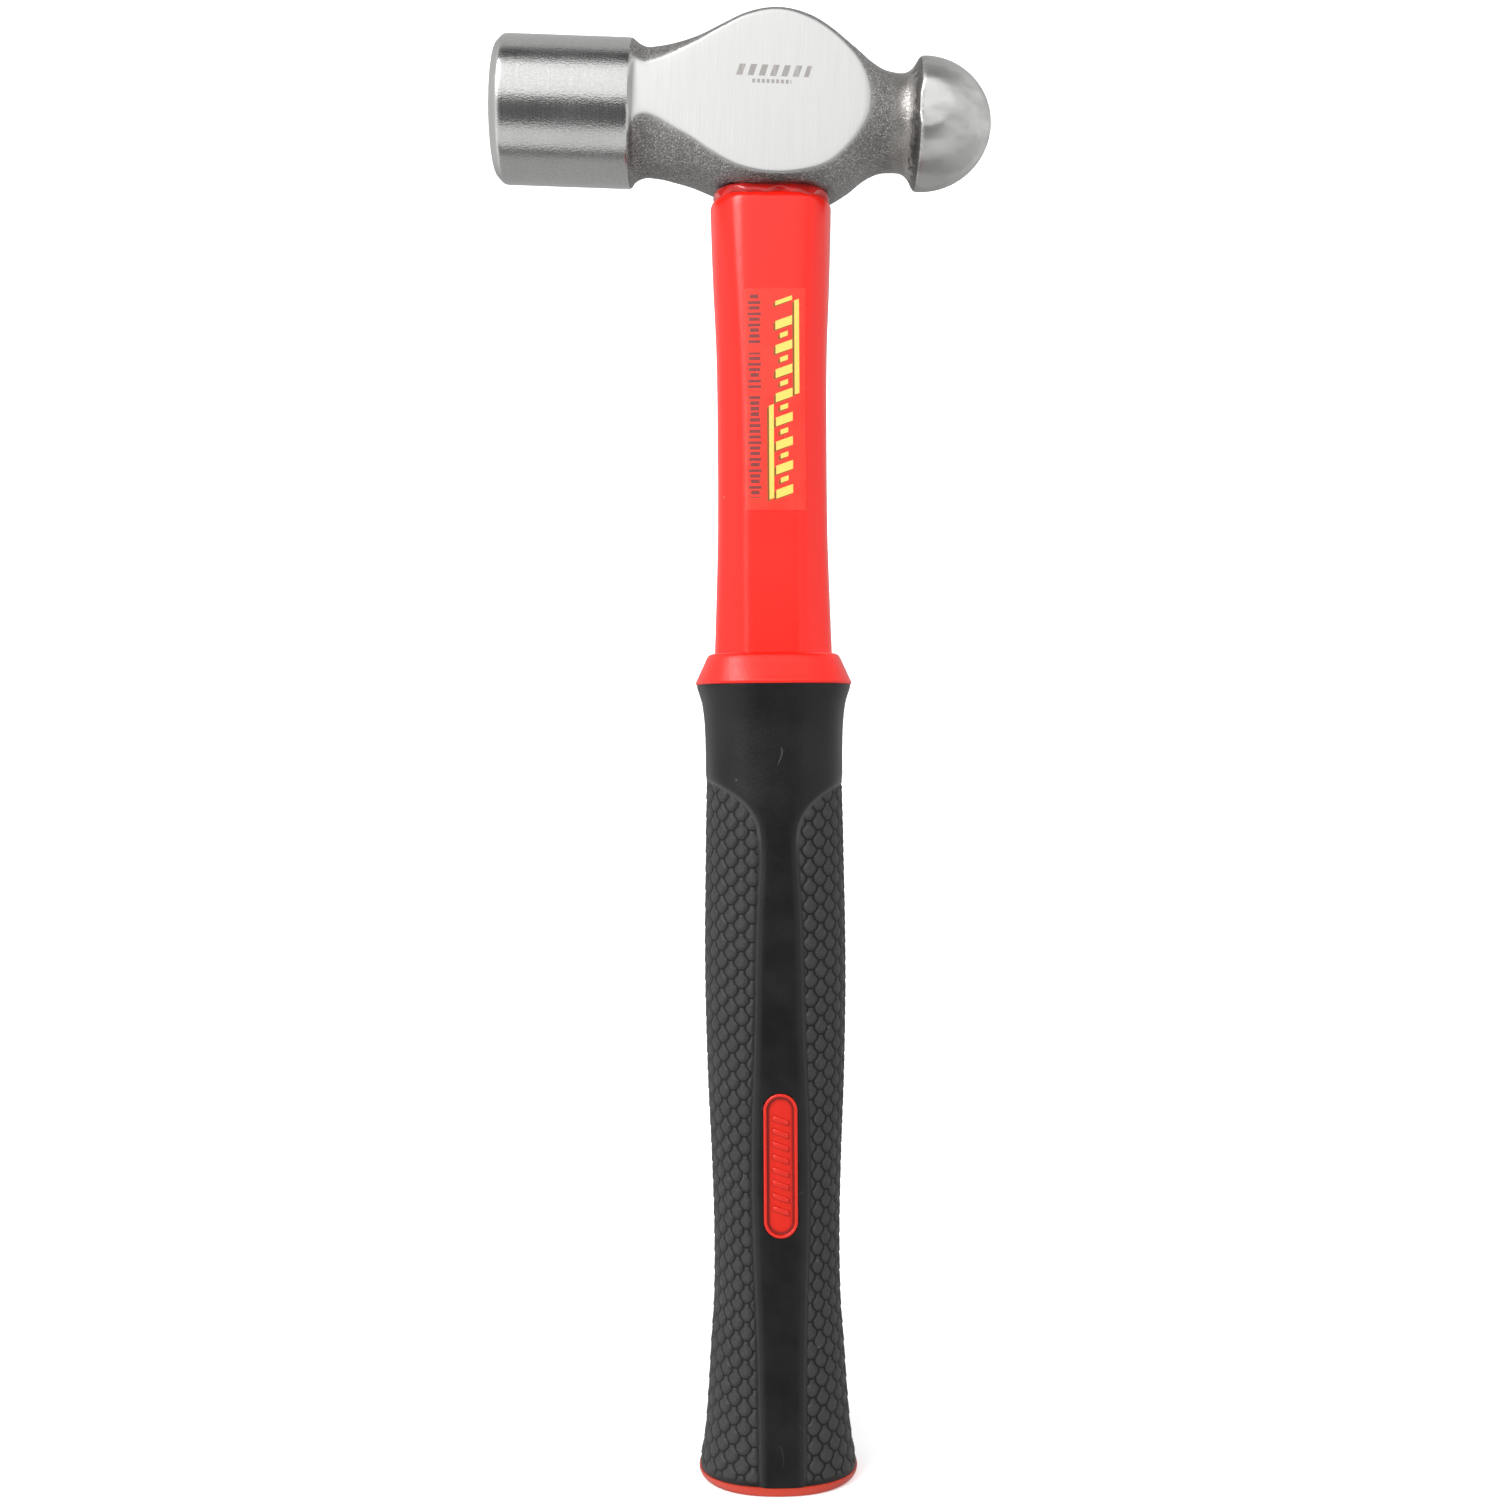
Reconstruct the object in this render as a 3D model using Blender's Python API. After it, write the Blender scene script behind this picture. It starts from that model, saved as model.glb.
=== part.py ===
"""Ball peen hammer: a forged steel head bonded to a fibreglass-cored handle.

The handle stands on its butt along +Z, centred on the Z axis. The striking face
points to -X, the ball peen to +X and the front cheek to -Y. Sizes are in metres.
"""
import math

import bpy
import bmesh

MM = 0.001
GAP = 0.3 * MM                      # clearance between pieces that touch

# Head, in its own frame: x along the head's axis from the handle's centre line.
HEAD_AXIS_HEIGHT = 321.4 * MM       # where the head's axis crosses the handle's
HEAD_DROOP = math.radians(2.4)      # the ball end hangs this much below square
CHEEK_THICKNESS = 29.0 * MM         # across the two ground cheeks
FACE_DIAMETER = 34.2 * MM
FACE_REACH = 65.0 * MM              # handle centre to the rim of the striking face
FACE_CROWN = 1.0 * MM
FACE_FLAT_DIAMETER = 10.0 * MM      # flat spot in the middle of the crown
FACE_CHAMFER = 2.0 * MM
POLL_BACK = 32.8 * MM               # handle centre to the back rim of the poll
PEEN_RIM = 34.8 * MM                # handle centre to the back rim of the ball
PEEN_CENTRE = 36.0 * MM
PEEN_DIAMETER = 30.9 * MM
PEEN_LENGTH = 16.5 * MM             # ball centre to its tip
PEEN_FILLET = 4.9 * MM
PEEN_NECK_RADIUS = 11.3 * MM

# Forged body between the necks: x, rise, fall, half width, squareness.
BODY_SECTIONS = (
    (-28.6 * MM, 14.9 * MM, 14.7 * MM, 16.1 * MM, 2.0),
    (-24.0 * MM, 15.8 * MM, 14.8 * MM, 16.3 * MM, 2.1),
    (-18.0 * MM, 17.8 * MM, 15.8 * MM, 17.1 * MM, 2.4),
    (-12.0 * MM, 20.3 * MM, 17.6 * MM, 18.4 * MM, 2.8),
    (-6.0 * MM, 22.3 * MM, 18.9 * MM, 18.9 * MM, 3.4),
    (1.0 * MM, 23.0 * MM, 19.2 * MM, 19.2 * MM, 3.8),
    (8.0 * MM, 22.2 * MM, 19.2 * MM, 18.9 * MM, 3.4),
    (14.0 * MM, 20.0 * MM, 18.6 * MM, 17.8 * MM, 3.0),
    (19.0 * MM, 16.7 * MM, 16.0 * MM, 16.2 * MM, 2.6),
    (23.0 * MM, 13.4 * MM, 12.9 * MM, 14.4 * MM, 2.3),
    (26.5 * MM, 11.7 * MM, 11.4 * MM, 12.6 * MM, 2.1),
    (29.9 * MM, 11.3 * MM, 11.3 * MM, 11.3 * MM, 2.0),
)

# Eye through the head, and what fills it.
CORE_LENGTH = 17.5 * MM             # section of the fibreglass rod, along the head
CORE_WIDTH = 11.5 * MM              # and across the cheeks
CORE_BOTTOM = 10.6 * MM
CORE_SQUARENESS = 3.0
RESIN_ENDS = 2.25 * MM              # resin round the rod at the eye's lower mouth
RESIN_SIDES = 1.75 * MM
EYE_TAPER = 2.5 * MM                # the eye is this much longer and wider at its top
EYE_LENGTH_BOTTOM = CORE_LENGTH + 2 * RESIN_ENDS
EYE_LENGTH_TOP = EYE_LENGTH_BOTTOM + EYE_TAPER
EYE_WIDTH_BOTTOM = CORE_WIDTH + 2 * RESIN_SIDES
EYE_WIDTH_TOP = EYE_WIDTH_BOTTOM + EYE_TAPER
EYE_TOP = HEAD_AXIS_HEIGHT + 18.4 * MM      # epoxy is ground off at this height
EYE_SEAT = HEAD_AXIS_HEIGHT - 18.4 * MM     # flat ground around the eye's lower mouth
SEAT_MARGIN = 2.0 * MM              # seat beyond the jacket's sides
CUT_OVERRUN = 10.0 * MM             # how far cutters pass the surface they cut
BEAD_HEIGHT = 0.6 * MM
BEAD_INSET = 1.1 * MM               # bead edge inside the jacket's edge

# Red jacket on the shaft.
GRIP_TOP = 186.4 * MM               # joint between the rubber and the collar
JACKET_TOP = EYE_SEAT - BEAD_HEIGHT - 2 * GAP
JACKET_SHOULDER = 2.4 * MM          # rounding of the jacket's top edge
# Share of the jacket's length, width, depth, front flat, side flat.
JACKET_SHAPE = (
    (0.0, 28.4 * MM, 22.4 * MM, 13.6 * MM, 9.0 * MM),
    (0.168, 27.0 * MM, 21.2 * MM, 13.5 * MM, 8.6 * MM),
    (0.307, 26.1 * MM, 20.4 * MM, 13.5 * MM, 8.2 * MM),
    (0.507, 25.9 * MM, 20.2 * MM, 13.6 * MM, 8.2 * MM),
    (0.680, 26.3 * MM, 20.4 * MM, 14.4 * MM, 8.4 * MM),
    (0.837, 27.9 * MM, 21.0 * MM, 16.2 * MM, 9.0 * MM),
    (1.0, 29.3 * MM, 21.6 * MM, 18.0 * MM, 9.6 * MM),
)
JACKET_BOTTOM = GRIP_TOP + GAP
JACKET_LENGTH = JACKET_TOP - JACKET_BOTTOM
JACKET_SECTIONS = [(JACKET_BOTTOM + JACKET_LENGTH * share, *sizes) for share, *sizes in JACKET_SHAPE]
JACKET_EDGE_SHARPNESS = 18          # higher gives crisper facet edges

# Grip: collar, hard sleeve, rubber sleeve, badges and butt cap.
COLLAR_HEIGHT = 7.2 * MM
COLLAR_TOP_WIDTH = 31.6 * MM
COLLAR_TOP_DEPTH = 25.8 * MM
COLLAR_FOOT_WIDTH = 36.9 * MM
COLLAR_FOOT_DEPTH = 31.0 * MM
COLLAR_ROUND = 1.0 * MM
SLEEVE_WALL_ENDS = 3.95 * MM        # hard sleeve's wall round the rod
SLEEVE_WALL_SIDES = 4.05 * MM
SLEEVE_WIDTH = CORE_LENGTH + 2 * SLEEVE_WALL_ENDS
SLEEVE_DEPTH = CORE_WIDTH + 2 * SLEEVE_WALL_SIDES
SLEEVE_SQUARENESS = 2.6
BUTT_LIP = 1.8 * MM                 # red lip below the rubber
BUTT_WIDTH = 37.4 * MM
BUTT_DEPTH = 32.0 * MM
BUTT_BASE_WIDTH = 33.8 * MM         # flat that the butt stands on
BUTT_BASE_DEPTH = 31.2 * MM
PLUG_TOP = CORE_BOTTOM - GAP

# Film label on the shaft's front flat, in the length that shows above the collar.
LABEL_WIDTH = 14.9 * MM
LABEL_SHIFT = 0.9 * MM              # stuck on a little to the ball's side
LABEL_LENGTH = 51.5 * MM
LABEL_THICKNESS = 0.3 * MM
LABEL_SETTLE = 0.613                # share of the spare length that is below the label
LABEL_ROOM = JACKET_TOP - JACKET_SHOULDER - JACKET_BOTTOM - COLLAR_HEIGHT
LABEL_BOTTOM = JACKET_BOTTOM + COLLAR_HEIGHT + (LABEL_ROOM - LABEL_LENGTH) * LABEL_SETTLE
LABEL_TOP = LABEL_BOTTOM + LABEL_LENGTH

# Outside of the rubber: share of its length, width, depth.
RUBBER_SHAPE = (
    (0.0, 37.8 * MM, 32.2 * MM),
    (0.040, 35.2 * MM, 30.4 * MM),
    (0.092, 33.5 * MM, 28.6 * MM),
    (0.157, 32.0 * MM, 26.9 * MM),
    (0.217, 30.5 * MM, 25.8 * MM),
    (0.304, 30.2 * MM, 25.5 * MM),
    (0.402, 31.2 * MM, 26.2 * MM),
    (0.505, 32.8 * MM, 27.3 * MM),
    (0.641, 33.8 * MM, 28.1 * MM),
    (0.804, 33.1 * MM, 27.6 * MM),
    (0.891, 32.5 * MM, 27.2 * MM),
    (0.945, 32.8 * MM, 27.6 * MM),
    (0.978, 34.0 * MM, 28.8 * MM),
    (1.0, 36.4 * MM, 30.6 * MM),
)
RUBBER_BOTTOM = BUTT_LIP + GAP
RUBBER_LENGTH = GRIP_TOP - GAP - RUBBER_BOTTOM
RUBBER_SECTIONS = [(RUBBER_BOTTOM + RUBBER_LENGTH * share, *sizes) for share, *sizes in RUBBER_SHAPE]
RUBBER_SQUARENESS = 2.3

BADGE_WIDTH = 7.9 * MM
BADGE_LENGTH = 33.6 * MM
BADGE_HEIGHT = 75.2 * MM            # height of its middle
BADGE_SHIFT = 0.8 * MM              # to the ball's side in front, the grip being a little turned
BADGE_PROUD = 0.35 * MM             # rim above the rubber
BADGE_RIM = 0.9 * MM
BADGE_RECESS = 0.7 * MM

RING_POINTS = 36
LABEL_STRIPS = 12
PILL_ARC_POINTS = 8


def interpolate(stations, at):
    """Values at a height on a smooth curve through stations sorted by their first value."""
    count = len(stations)
    index = 0
    while index < count - 2 and at > stations[index + 1][0]:
        index += 1
    low, high = stations[index], stations[index + 1]
    before = stations[max(index - 1, 0)]
    after = stations[min(index + 2, count - 1)]
    span = high[0] - low[0]
    t = (at - low[0]) / span
    values = []
    for k in range(1, len(low)):
        slope_in = (high[k] - before[k]) / (high[0] - before[0]) * span
        slope_out = (after[k] - low[k]) / (after[0] - low[0]) * span
        values.append(
            low[k] * (2 * t ** 3 - 3 * t ** 2 + 1) + slope_in * (t ** 3 - 2 * t ** 2 + t)
            + high[k] * (3 * t ** 2 - 2 * t ** 3) + slope_out * (t ** 3 - t ** 2)
        )
    return values


def steps(start, end, count):
    """Evenly spaced values from start to end, both included."""
    return [start + (end - start) * i / (count - 1) for i in range(count)]


def oval(width, depth, squareness, rise_ratio=1.0):
    """Superellipse outline; its second half is scaled by rise_ratio across the width."""
    points = []
    for angle in even_angles():
        c, s = math.cos(angle), math.sin(angle)
        reach = (abs(c) ** squareness + abs(s) ** squareness) ** (-1 / squareness)
        points.append((width / 2 * reach * c, depth / 2 * reach * s * (rise_ratio if s > 0 else 1)))
    return points


def even_angles():
    return [2 * math.pi * i / RING_POINTS for i in range(RING_POINTS)]


def faceted_oval(width, depth, front_flat, side_flat, grow=0.0, angles=None):
    """Octagon with softened corners, pushed out by grow, sampled at these or at even angles."""
    half_w, half_d = width / 2, depth / 2
    lean = math.hypot(half_w - front_flat / 2, half_d - side_flat / 2)
    nx, ny = (half_d - side_flat / 2) / lean, (half_w - front_flat / 2) / lean
    corner = nx * front_flat / 2 + ny * half_d
    planes = (
        (1, 0, half_w + grow), (0, 1, half_d + grow), (nx, ny, corner + grow), (nx, -ny, corner + grow),
    )
    points = []
    for angle in angles or even_angles():
        c, s = math.cos(angle), math.sin(angle)
        total = sum(abs((c * a + s * b) / d) ** JACKET_EDGE_SHARPNESS for a, b, d in planes)
        reach = total ** (-1 / JACKET_EDGE_SHARPNESS)
        points.append((reach * c, reach * s))
    return points


def level(outline, height):
    """Put an outline in the horizontal plane at a height."""
    return [(x, y, height) for x, y in outline]


def loft(name, rings, bore=()):
    """Closed solid through rings of equal count; with bore rings it is a tube."""
    bm = bmesh.new()
    walls = []
    for path in (rings, bore):
        loops = [[bm.verts.new(point) for point in ring] for ring in path]
        walls.append(loops)
        for lower, upper in zip(loops, loops[1:]):
            bridge(bm, lower, upper)
    outer, inner = walls
    for end in (0, -1):
        if inner:
            bridge(bm, outer[end], inner[end])
        else:
            bm.faces.new(outer[end])
    bmesh.ops.recalc_face_normals(bm, faces=bm.faces[:])
    mesh = bpy.data.meshes.new(name)
    bm.to_mesh(mesh)
    bm.free()
    mesh.shade_smooth()
    mesh.set_sharp_from_angle(angle=math.radians(30))
    return bpy.data.objects.new(name, mesh)


def bridge(bm, first, second):
    """Join two loops of vertices with quads."""
    count = len(first)
    for i in range(count):
        j = (i + 1) % count
        bm.faces.new((first[i], first[j], second[j], second[i]))


def finish(obj, colour, roughness, metallic=0.0):
    """Give a piece its own material and put it in the hammer's collection."""
    material = bpy.data.materials.new(obj.name)
    material.use_nodes = True
    shader = material.node_tree.nodes["Principled BSDF"]
    shader.inputs["Base Color"].default_value = (*colour, 1)
    shader.inputs["Roughness"].default_value = roughness
    shader.inputs["Metallic"].default_value = metallic
    obj.data.materials.append(material)
    hammer.objects.link(obj)
    return obj


def cut(obj, cutter):
    """Take a cutter's volume out of a piece."""
    cutters.objects.link(cutter)
    cutter.hide_render = True
    cutter.display_type = "WIRE"
    boolean = obj.modifiers.new(cutter.name, "BOOLEAN")
    boolean.operation = "DIFFERENCE"
    boolean.solver = "EXACT"
    boolean.object = cutter


def block(name, low, high):
    """Box between two corners."""
    bm = bmesh.new()
    bmesh.ops.create_cube(bm, size=1)
    for vert in bm.verts:
        for k in range(3):
            vert.co[k] = low[k] if vert.co[k] < 0 else high[k]
    mesh = bpy.data.meshes.new(name)
    bm.to_mesh(mesh)
    bm.free()
    return bpy.data.objects.new(name, mesh)


def round_section(x, radius):
    return (x, radius, radius, radius, 2.0)


def poll_sections():
    """Crowned face, chamfer, cylinder and the fillet behind its back rim."""
    radius = FACE_DIAMETER / 2
    rim = radius - FACE_CHAMFER
    flat = FACE_FLAT_DIAMETER / 2
    halfway = (rim + flat) / 2
    crown_left = FACE_CROWN * (1 - (halfway / rim) ** 2)
    sections = [
        round_section(-FACE_REACH - FACE_CROWN, flat),
        round_section(-FACE_REACH - crown_left, halfway),
        round_section(-FACE_REACH, rim),
        round_section(-FACE_REACH + FACE_CHAMFER, radius),
    ]
    rim, neck = round_section(-POLL_BACK, radius), BODY_SECTIONS[0]
    for t in steps(0, 1, 6)[:-1]:
        flare = (1 - t) ** 2
        blend = [low + (high - low) * flare for low, high in zip(neck[1:], rim[1:])]
        sections.append((-POLL_BACK + (neck[0] + POLL_BACK) * t, *blend))
    return sections


def peen_sections():
    """Fillet up to the ball's back rim, then the ball itself."""
    radius = PEEN_DIAMETER / 2
    rim = radius * math.sqrt(1 - ((PEEN_CENTRE - PEEN_RIM) / PEEN_LENGTH) ** 2)
    sections = []
    for t in steps(0, 1, 6)[1:]:
        x = PEEN_RIM - PEEN_FILLET * (1 - t)
        sections.append(round_section(x, PEEN_NECK_RADIUS + (rim - PEEN_NECK_RADIUS) * t ** 3))
    start = math.asin((PEEN_RIM - PEEN_CENTRE) / PEEN_LENGTH)
    for angle in steps(start, math.radians(84), 12)[1:]:
        sections.append(round_section(PEEN_CENTRE + PEEN_LENGTH * math.sin(angle), radius * math.cos(angle)))
    return sections


def head_ring(x, rise, fall, half_width, squareness):
    """Section across the head: y to the cheeks, z up, deeper or shallower below the axis."""
    outline = oval(2 * half_width, 2 * fall, squareness, rise / fall)
    return [(x, y, z) for y, z in outline]


def make_head():
    """Forging lofted along its axis, with ground cheeks, eye and lower seat."""
    body_x = steps(BODY_SECTIONS[0][0], BODY_SECTIONS[-1][0], 18)
    body = [(x, *interpolate(BODY_SECTIONS, x)) for x in body_x]
    rings = [head_ring(*section) for section in poll_sections() + body + peen_sections()]
    head = loft("hammer_head", rings)
    place_on_head(head)
    cheek = CHEEK_THICKNESS / 2
    clear = FACE_DIAMETER
    for name, near, far in (("front_cheek", -clear, -cheek), ("back_cheek", cheek, clear)):
        cutter = block(name, (-POLL_BACK, near, -clear), (PEEN_RIM - PEEN_FILLET, far, clear))
        place_on_head(cutter)
        cut(head, cutter)
    cut(head, loft("eye", eye_rings(0.0, EYE_SEAT - CUT_OVERRUN, EYE_TOP + CUT_OVERRUN)))
    seat = JACKET_SECTIONS[-1][1] / 2 + SEAT_MARGIN
    cut(head, block("eye_seat", (-seat, -clear, EYE_SEAT - CUT_OVERRUN), (seat, clear, EYE_SEAT)))
    return finish(head, (0.55, 0.55, 0.53), 0.35, 1.0)


def place_on_head(obj):
    obj.location = (0, 0, HEAD_AXIS_HEIGHT)
    obj.rotation_euler = (0, HEAD_DROOP, 0)


def eye_rings(shrink, bottom, top):
    """The tapered eye between two heights, reduced all round by shrink."""
    rings = []
    for height in (bottom, top):
        t = (height - EYE_SEAT) / (EYE_TOP - EYE_SEAT)
        length = EYE_LENGTH_BOTTOM + (EYE_LENGTH_TOP - EYE_LENGTH_BOTTOM) * t
        width = EYE_WIDTH_BOTTOM + (EYE_WIDTH_TOP - EYE_WIDTH_BOTTOM) * t
        rings.append(level(oval(length - 2 * shrink, width - 2 * shrink, CORE_SQUARENESS), height))
    return rings


def core_rings(grow, heights):
    outline = oval(CORE_LENGTH + 2 * grow, CORE_WIDTH + 2 * grow, CORE_SQUARENESS)
    return [level(outline, height) for height in heights]


def make_core():
    """Pultruded rod from the butt plug to the top of the eye."""
    core = loft("fibreglass_core", core_rings(0.0, (CORE_BOTTOM, EYE_TOP)))
    return finish(core, (0.72, 0.66, 0.45), 0.6)


def make_eye_epoxy():
    """Resin cast between the rod and the eye."""
    bottom, top = EYE_SEAT, EYE_TOP - GAP
    epoxy = loft("eye_epoxy", eye_rings(GAP, bottom, top), core_rings(GAP, (bottom, top)))
    return finish(epoxy, (0.08, 0.02, 0.015), 0.3)


def jacket_ring(height, grow=0.0, shape_height=None):
    shape = interpolate(JACKET_SECTIONS, height if shape_height is None else shape_height)
    return level(faceted_oval(*shape, grow), height)


def make_bead():
    """Resin squeezed out between the jacket and the head."""
    bottom = JACKET_TOP + GAP
    heights = (bottom, bottom + BEAD_HEIGHT)
    rings = [jacket_ring(height, -BEAD_INSET, JACKET_TOP) for height in heights]
    bead = loft("epoxy_bead", rings, core_rings(GAP, heights))
    return finish(bead, (0.35, 0.01, 0.01), 0.15)


def make_jacket():
    """Red jacket on the rod, from the grip to the rounded shoulder under the head."""
    bottom = JACKET_BOTTOM
    straight_top = JACKET_TOP - JACKET_SHOULDER
    rings = [jacket_ring(height) for height in steps(bottom, straight_top, 12)]
    for angle in steps(0, math.pi / 2, 5)[1:]:
        inset = JACKET_SHOULDER * (1 - math.cos(angle))
        rings.append(jacket_ring(straight_top + JACKET_SHOULDER * math.sin(angle), -inset, straight_top))
    jacket = loft("shaft_jacket", rings, core_rings(GAP, (bottom, JACKET_TOP)))
    return finish(jacket, (0.85, 0.05, 0.03), 0.35)


def make_label():
    """Thin film wrapped on the front flat of the jacket."""
    rings = []
    for height in steps(LABEL_BOTTOM, LABEL_TOP, 8):
        shape = interpolate(JACKET_SECTIONS, height)
        sides = [LABEL_SHIFT + side * LABEL_WIDTH / 2 for side in (-1, 1)]
        start, end = [math.atan2(-shape[1] / 2, x) for x in sides]
        angles = steps(start, end, LABEL_STRIPS)
        front = faceted_oval(*shape, GAP + LABEL_THICKNESS, angles)
        back = faceted_oval(*shape, GAP, angles)
        rings.append(level(front + back[::-1], height))
    return finish(loft("shaft_label", rings), (0.9, 0.35, 0.05), 0.3)


def make_collar():
    """Flared red ring between the shaft and the rubber."""
    bottom = JACKET_BOTTOM
    top = bottom + COLLAR_HEIGHT
    sizes = (
        (bottom, COLLAR_FOOT_WIDTH, COLLAR_FOOT_DEPTH),
        (bottom + COLLAR_ROUND, COLLAR_FOOT_WIDTH, COLLAR_FOOT_DEPTH),
        (top - COLLAR_ROUND, COLLAR_TOP_WIDTH, COLLAR_TOP_DEPTH),
        (top, COLLAR_TOP_WIDTH - COLLAR_ROUND, COLLAR_TOP_DEPTH - COLLAR_ROUND),
    )
    rings = [level(oval(width, depth, RUBBER_SQUARENESS), height) for height, width, depth in sizes]
    bore = [jacket_ring(height, GAP) for height, _, _ in sizes]
    return finish(loft("grip_collar", rings, bore), (0.85, 0.05, 0.03), 0.3)


def sleeve_rings(grow, heights):
    outline = oval(SLEEVE_WIDTH + 2 * grow, SLEEVE_DEPTH + 2 * grow, SLEEVE_SQUARENESS)
    return [level(outline, height) for height in heights]


def make_sleeve():
    """Hard sleeve that carries the rubber on the rod."""
    heights = (CORE_BOTTOM, GRIP_TOP)
    sleeve = loft("grip_sleeve", sleeve_rings(0.0, heights), core_rings(GAP, heights))
    return finish(sleeve, (0.85, 0.05, 0.03), 0.4)


def rubber_half_depth(height):
    return interpolate(RUBBER_SECTIONS, height)[1] / 2


def make_rubber():
    """Moulded rubber over the sleeve, with a window for each badge."""
    bottom, top = RUBBER_SECTIONS[0][0], RUBBER_SECTIONS[-1][0]
    rings = []
    for height in steps(bottom, top, 22):
        width, depth = interpolate(RUBBER_SECTIONS, height)
        rings.append(level(oval(width, depth, RUBBER_SQUARENESS), height))
    rubber = loft("rubber_grip", rings, sleeve_rings(GAP, (bottom, top)))
    reach = BUTT_DEPTH
    for name, side in (("front_window", -1), ("back_window", 1)):
        cut(rubber, loft(name, [pill(GAP, side, SLEEVE_DEPTH / 4), pill(GAP, side, reach)]))
    return finish(rubber, (0.03, 0.03, 0.03), 0.75)


def pill(grow, side, out, lean=0.0):
    """Upright pill outline at a distance out on one side, its top leaning out by lean per metre."""
    radius = BADGE_WIDTH / 2 + grow
    straight = (BADGE_LENGTH - BADGE_WIDTH) / 2
    points = []
    for end in (1, -1):
        for angle in steps(0, math.pi, PILL_ARC_POINTS):
            x = end * radius * math.cos(angle)
            z = end * (radius * math.sin(angle) + straight)
            points.append((x - side * BADGE_SHIFT, side * (out + lean * z), BADGE_HEIGHT + z))
    return points


def make_badge(name, side):
    """Pill seated on the sleeve and showing through the rubber; side is -1 for the front."""
    top = BADGE_HEIGHT + BADGE_LENGTH / 2
    bottom = BADGE_HEIGHT - BADGE_LENGTH / 2
    lean = (rubber_half_depth(top) - rubber_half_depth(bottom)) / BADGE_LENGTH
    rim = rubber_half_depth(BADGE_HEIGHT) + BADGE_PROUD
    seat = SLEEVE_DEPTH / 2 + GAP
    rings = [pill(0.0, side, seat), pill(0.0, side, rim, lean)]
    rings += [pill(-BADGE_RIM, side, out, lean) for out in (rim, rim - BADGE_RECESS)]
    return finish(loft(name, rings), (0.8, 0.04, 0.02), 0.35)


def make_butt_cap():
    """Red lip that closes the rubber, with a plug up its bore."""
    rings = []
    for angle in steps(0, math.pi / 2, 5):
        spread = math.sin(angle)
        width = BUTT_BASE_WIDTH + (BUTT_WIDTH - BUTT_BASE_WIDTH) * spread
        depth = BUTT_BASE_DEPTH + (BUTT_DEPTH - BUTT_BASE_DEPTH) * spread
        rings.append(level(oval(width, depth, RUBBER_SQUARENESS), BUTT_LIP * (1 - math.cos(angle))))
    rings += sleeve_rings(0.0, (BUTT_LIP, PLUG_TOP))
    return finish(loft("butt_cap", rings), (0.75, 0.08, 0.05), 0.45)


for leftover in list(bpy.data.objects):
    bpy.data.objects.remove(leftover, do_unlink=True)

hammer = bpy.data.collections.new("ball_peen_hammer")
cutters = bpy.data.collections.new("cutters")
bpy.context.scene.collection.children.link(hammer)
bpy.context.scene.collection.children.link(cutters)

make_head()
make_core()
make_eye_epoxy()
make_bead()
make_jacket()
make_label()
make_collar()
make_sleeve()
make_rubber()
make_badge("badge_front", -1)
make_badge("badge_back", 1)
make_butt_cap()
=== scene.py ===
"""Looks of a ball peen hammer: turned and ground steel head, red jacket, rubber grip.

The hammer stands on its butt along +Z; the striking face points to -X, the ball to +X
and the front cheek to -Y. Sizes are in metres.
"""
import math
from functools import partial

import bpy
import numpy as np
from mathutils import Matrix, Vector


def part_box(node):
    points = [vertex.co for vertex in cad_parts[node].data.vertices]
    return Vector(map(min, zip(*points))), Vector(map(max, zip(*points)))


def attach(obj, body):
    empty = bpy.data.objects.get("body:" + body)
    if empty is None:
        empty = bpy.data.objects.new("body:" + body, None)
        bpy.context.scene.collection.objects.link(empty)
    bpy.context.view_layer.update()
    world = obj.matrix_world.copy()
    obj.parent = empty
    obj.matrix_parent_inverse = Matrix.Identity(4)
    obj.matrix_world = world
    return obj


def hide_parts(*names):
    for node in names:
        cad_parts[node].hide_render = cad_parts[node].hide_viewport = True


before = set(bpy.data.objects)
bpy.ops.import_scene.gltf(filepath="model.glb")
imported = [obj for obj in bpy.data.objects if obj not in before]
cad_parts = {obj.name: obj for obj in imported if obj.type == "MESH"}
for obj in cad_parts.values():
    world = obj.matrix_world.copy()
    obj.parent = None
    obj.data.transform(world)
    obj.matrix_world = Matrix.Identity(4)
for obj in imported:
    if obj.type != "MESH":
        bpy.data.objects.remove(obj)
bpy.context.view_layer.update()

MM = 0.001
TURN = 2 * math.pi
NO_TRIANGLES = np.zeros((0, 3), int)
RING_POINTS = 288                   # round the head, the jacket, the bead and the collar

# Head, in its own frame: x along its axis, y to the cheeks, z up.
HEAD_AXIS_HEIGHT = 321.4 * MM
HEAD_DROOP = math.radians(2.4)
CHEEK = 14.5 * MM                   # handle's middle to each ground cheek
CHEEK_EDGE = 0.3 * MM               # softness of the ground edge
CHEEK_FILLET = 1.4 * MM             # where the cheek runs out against the poll
FACE_RADIUS = 17.1 * MM
FACE_REACH = 65.0 * MM
FACE_CROWN = 1.0 * MM
FACE_CHAMFER = 2.0 * MM
POLL_BACK = 32.8 * MM
PEEN_RIM = 34.8 * MM
PEEN_CENTRE = 36.0 * MM
PEEN_RADIUS = 15.45 * MM
PEEN_LENGTH = 16.5 * MM
PEEN_FILLET = 4.9 * MM
PEEN_NECK = 11.3 * MM

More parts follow.
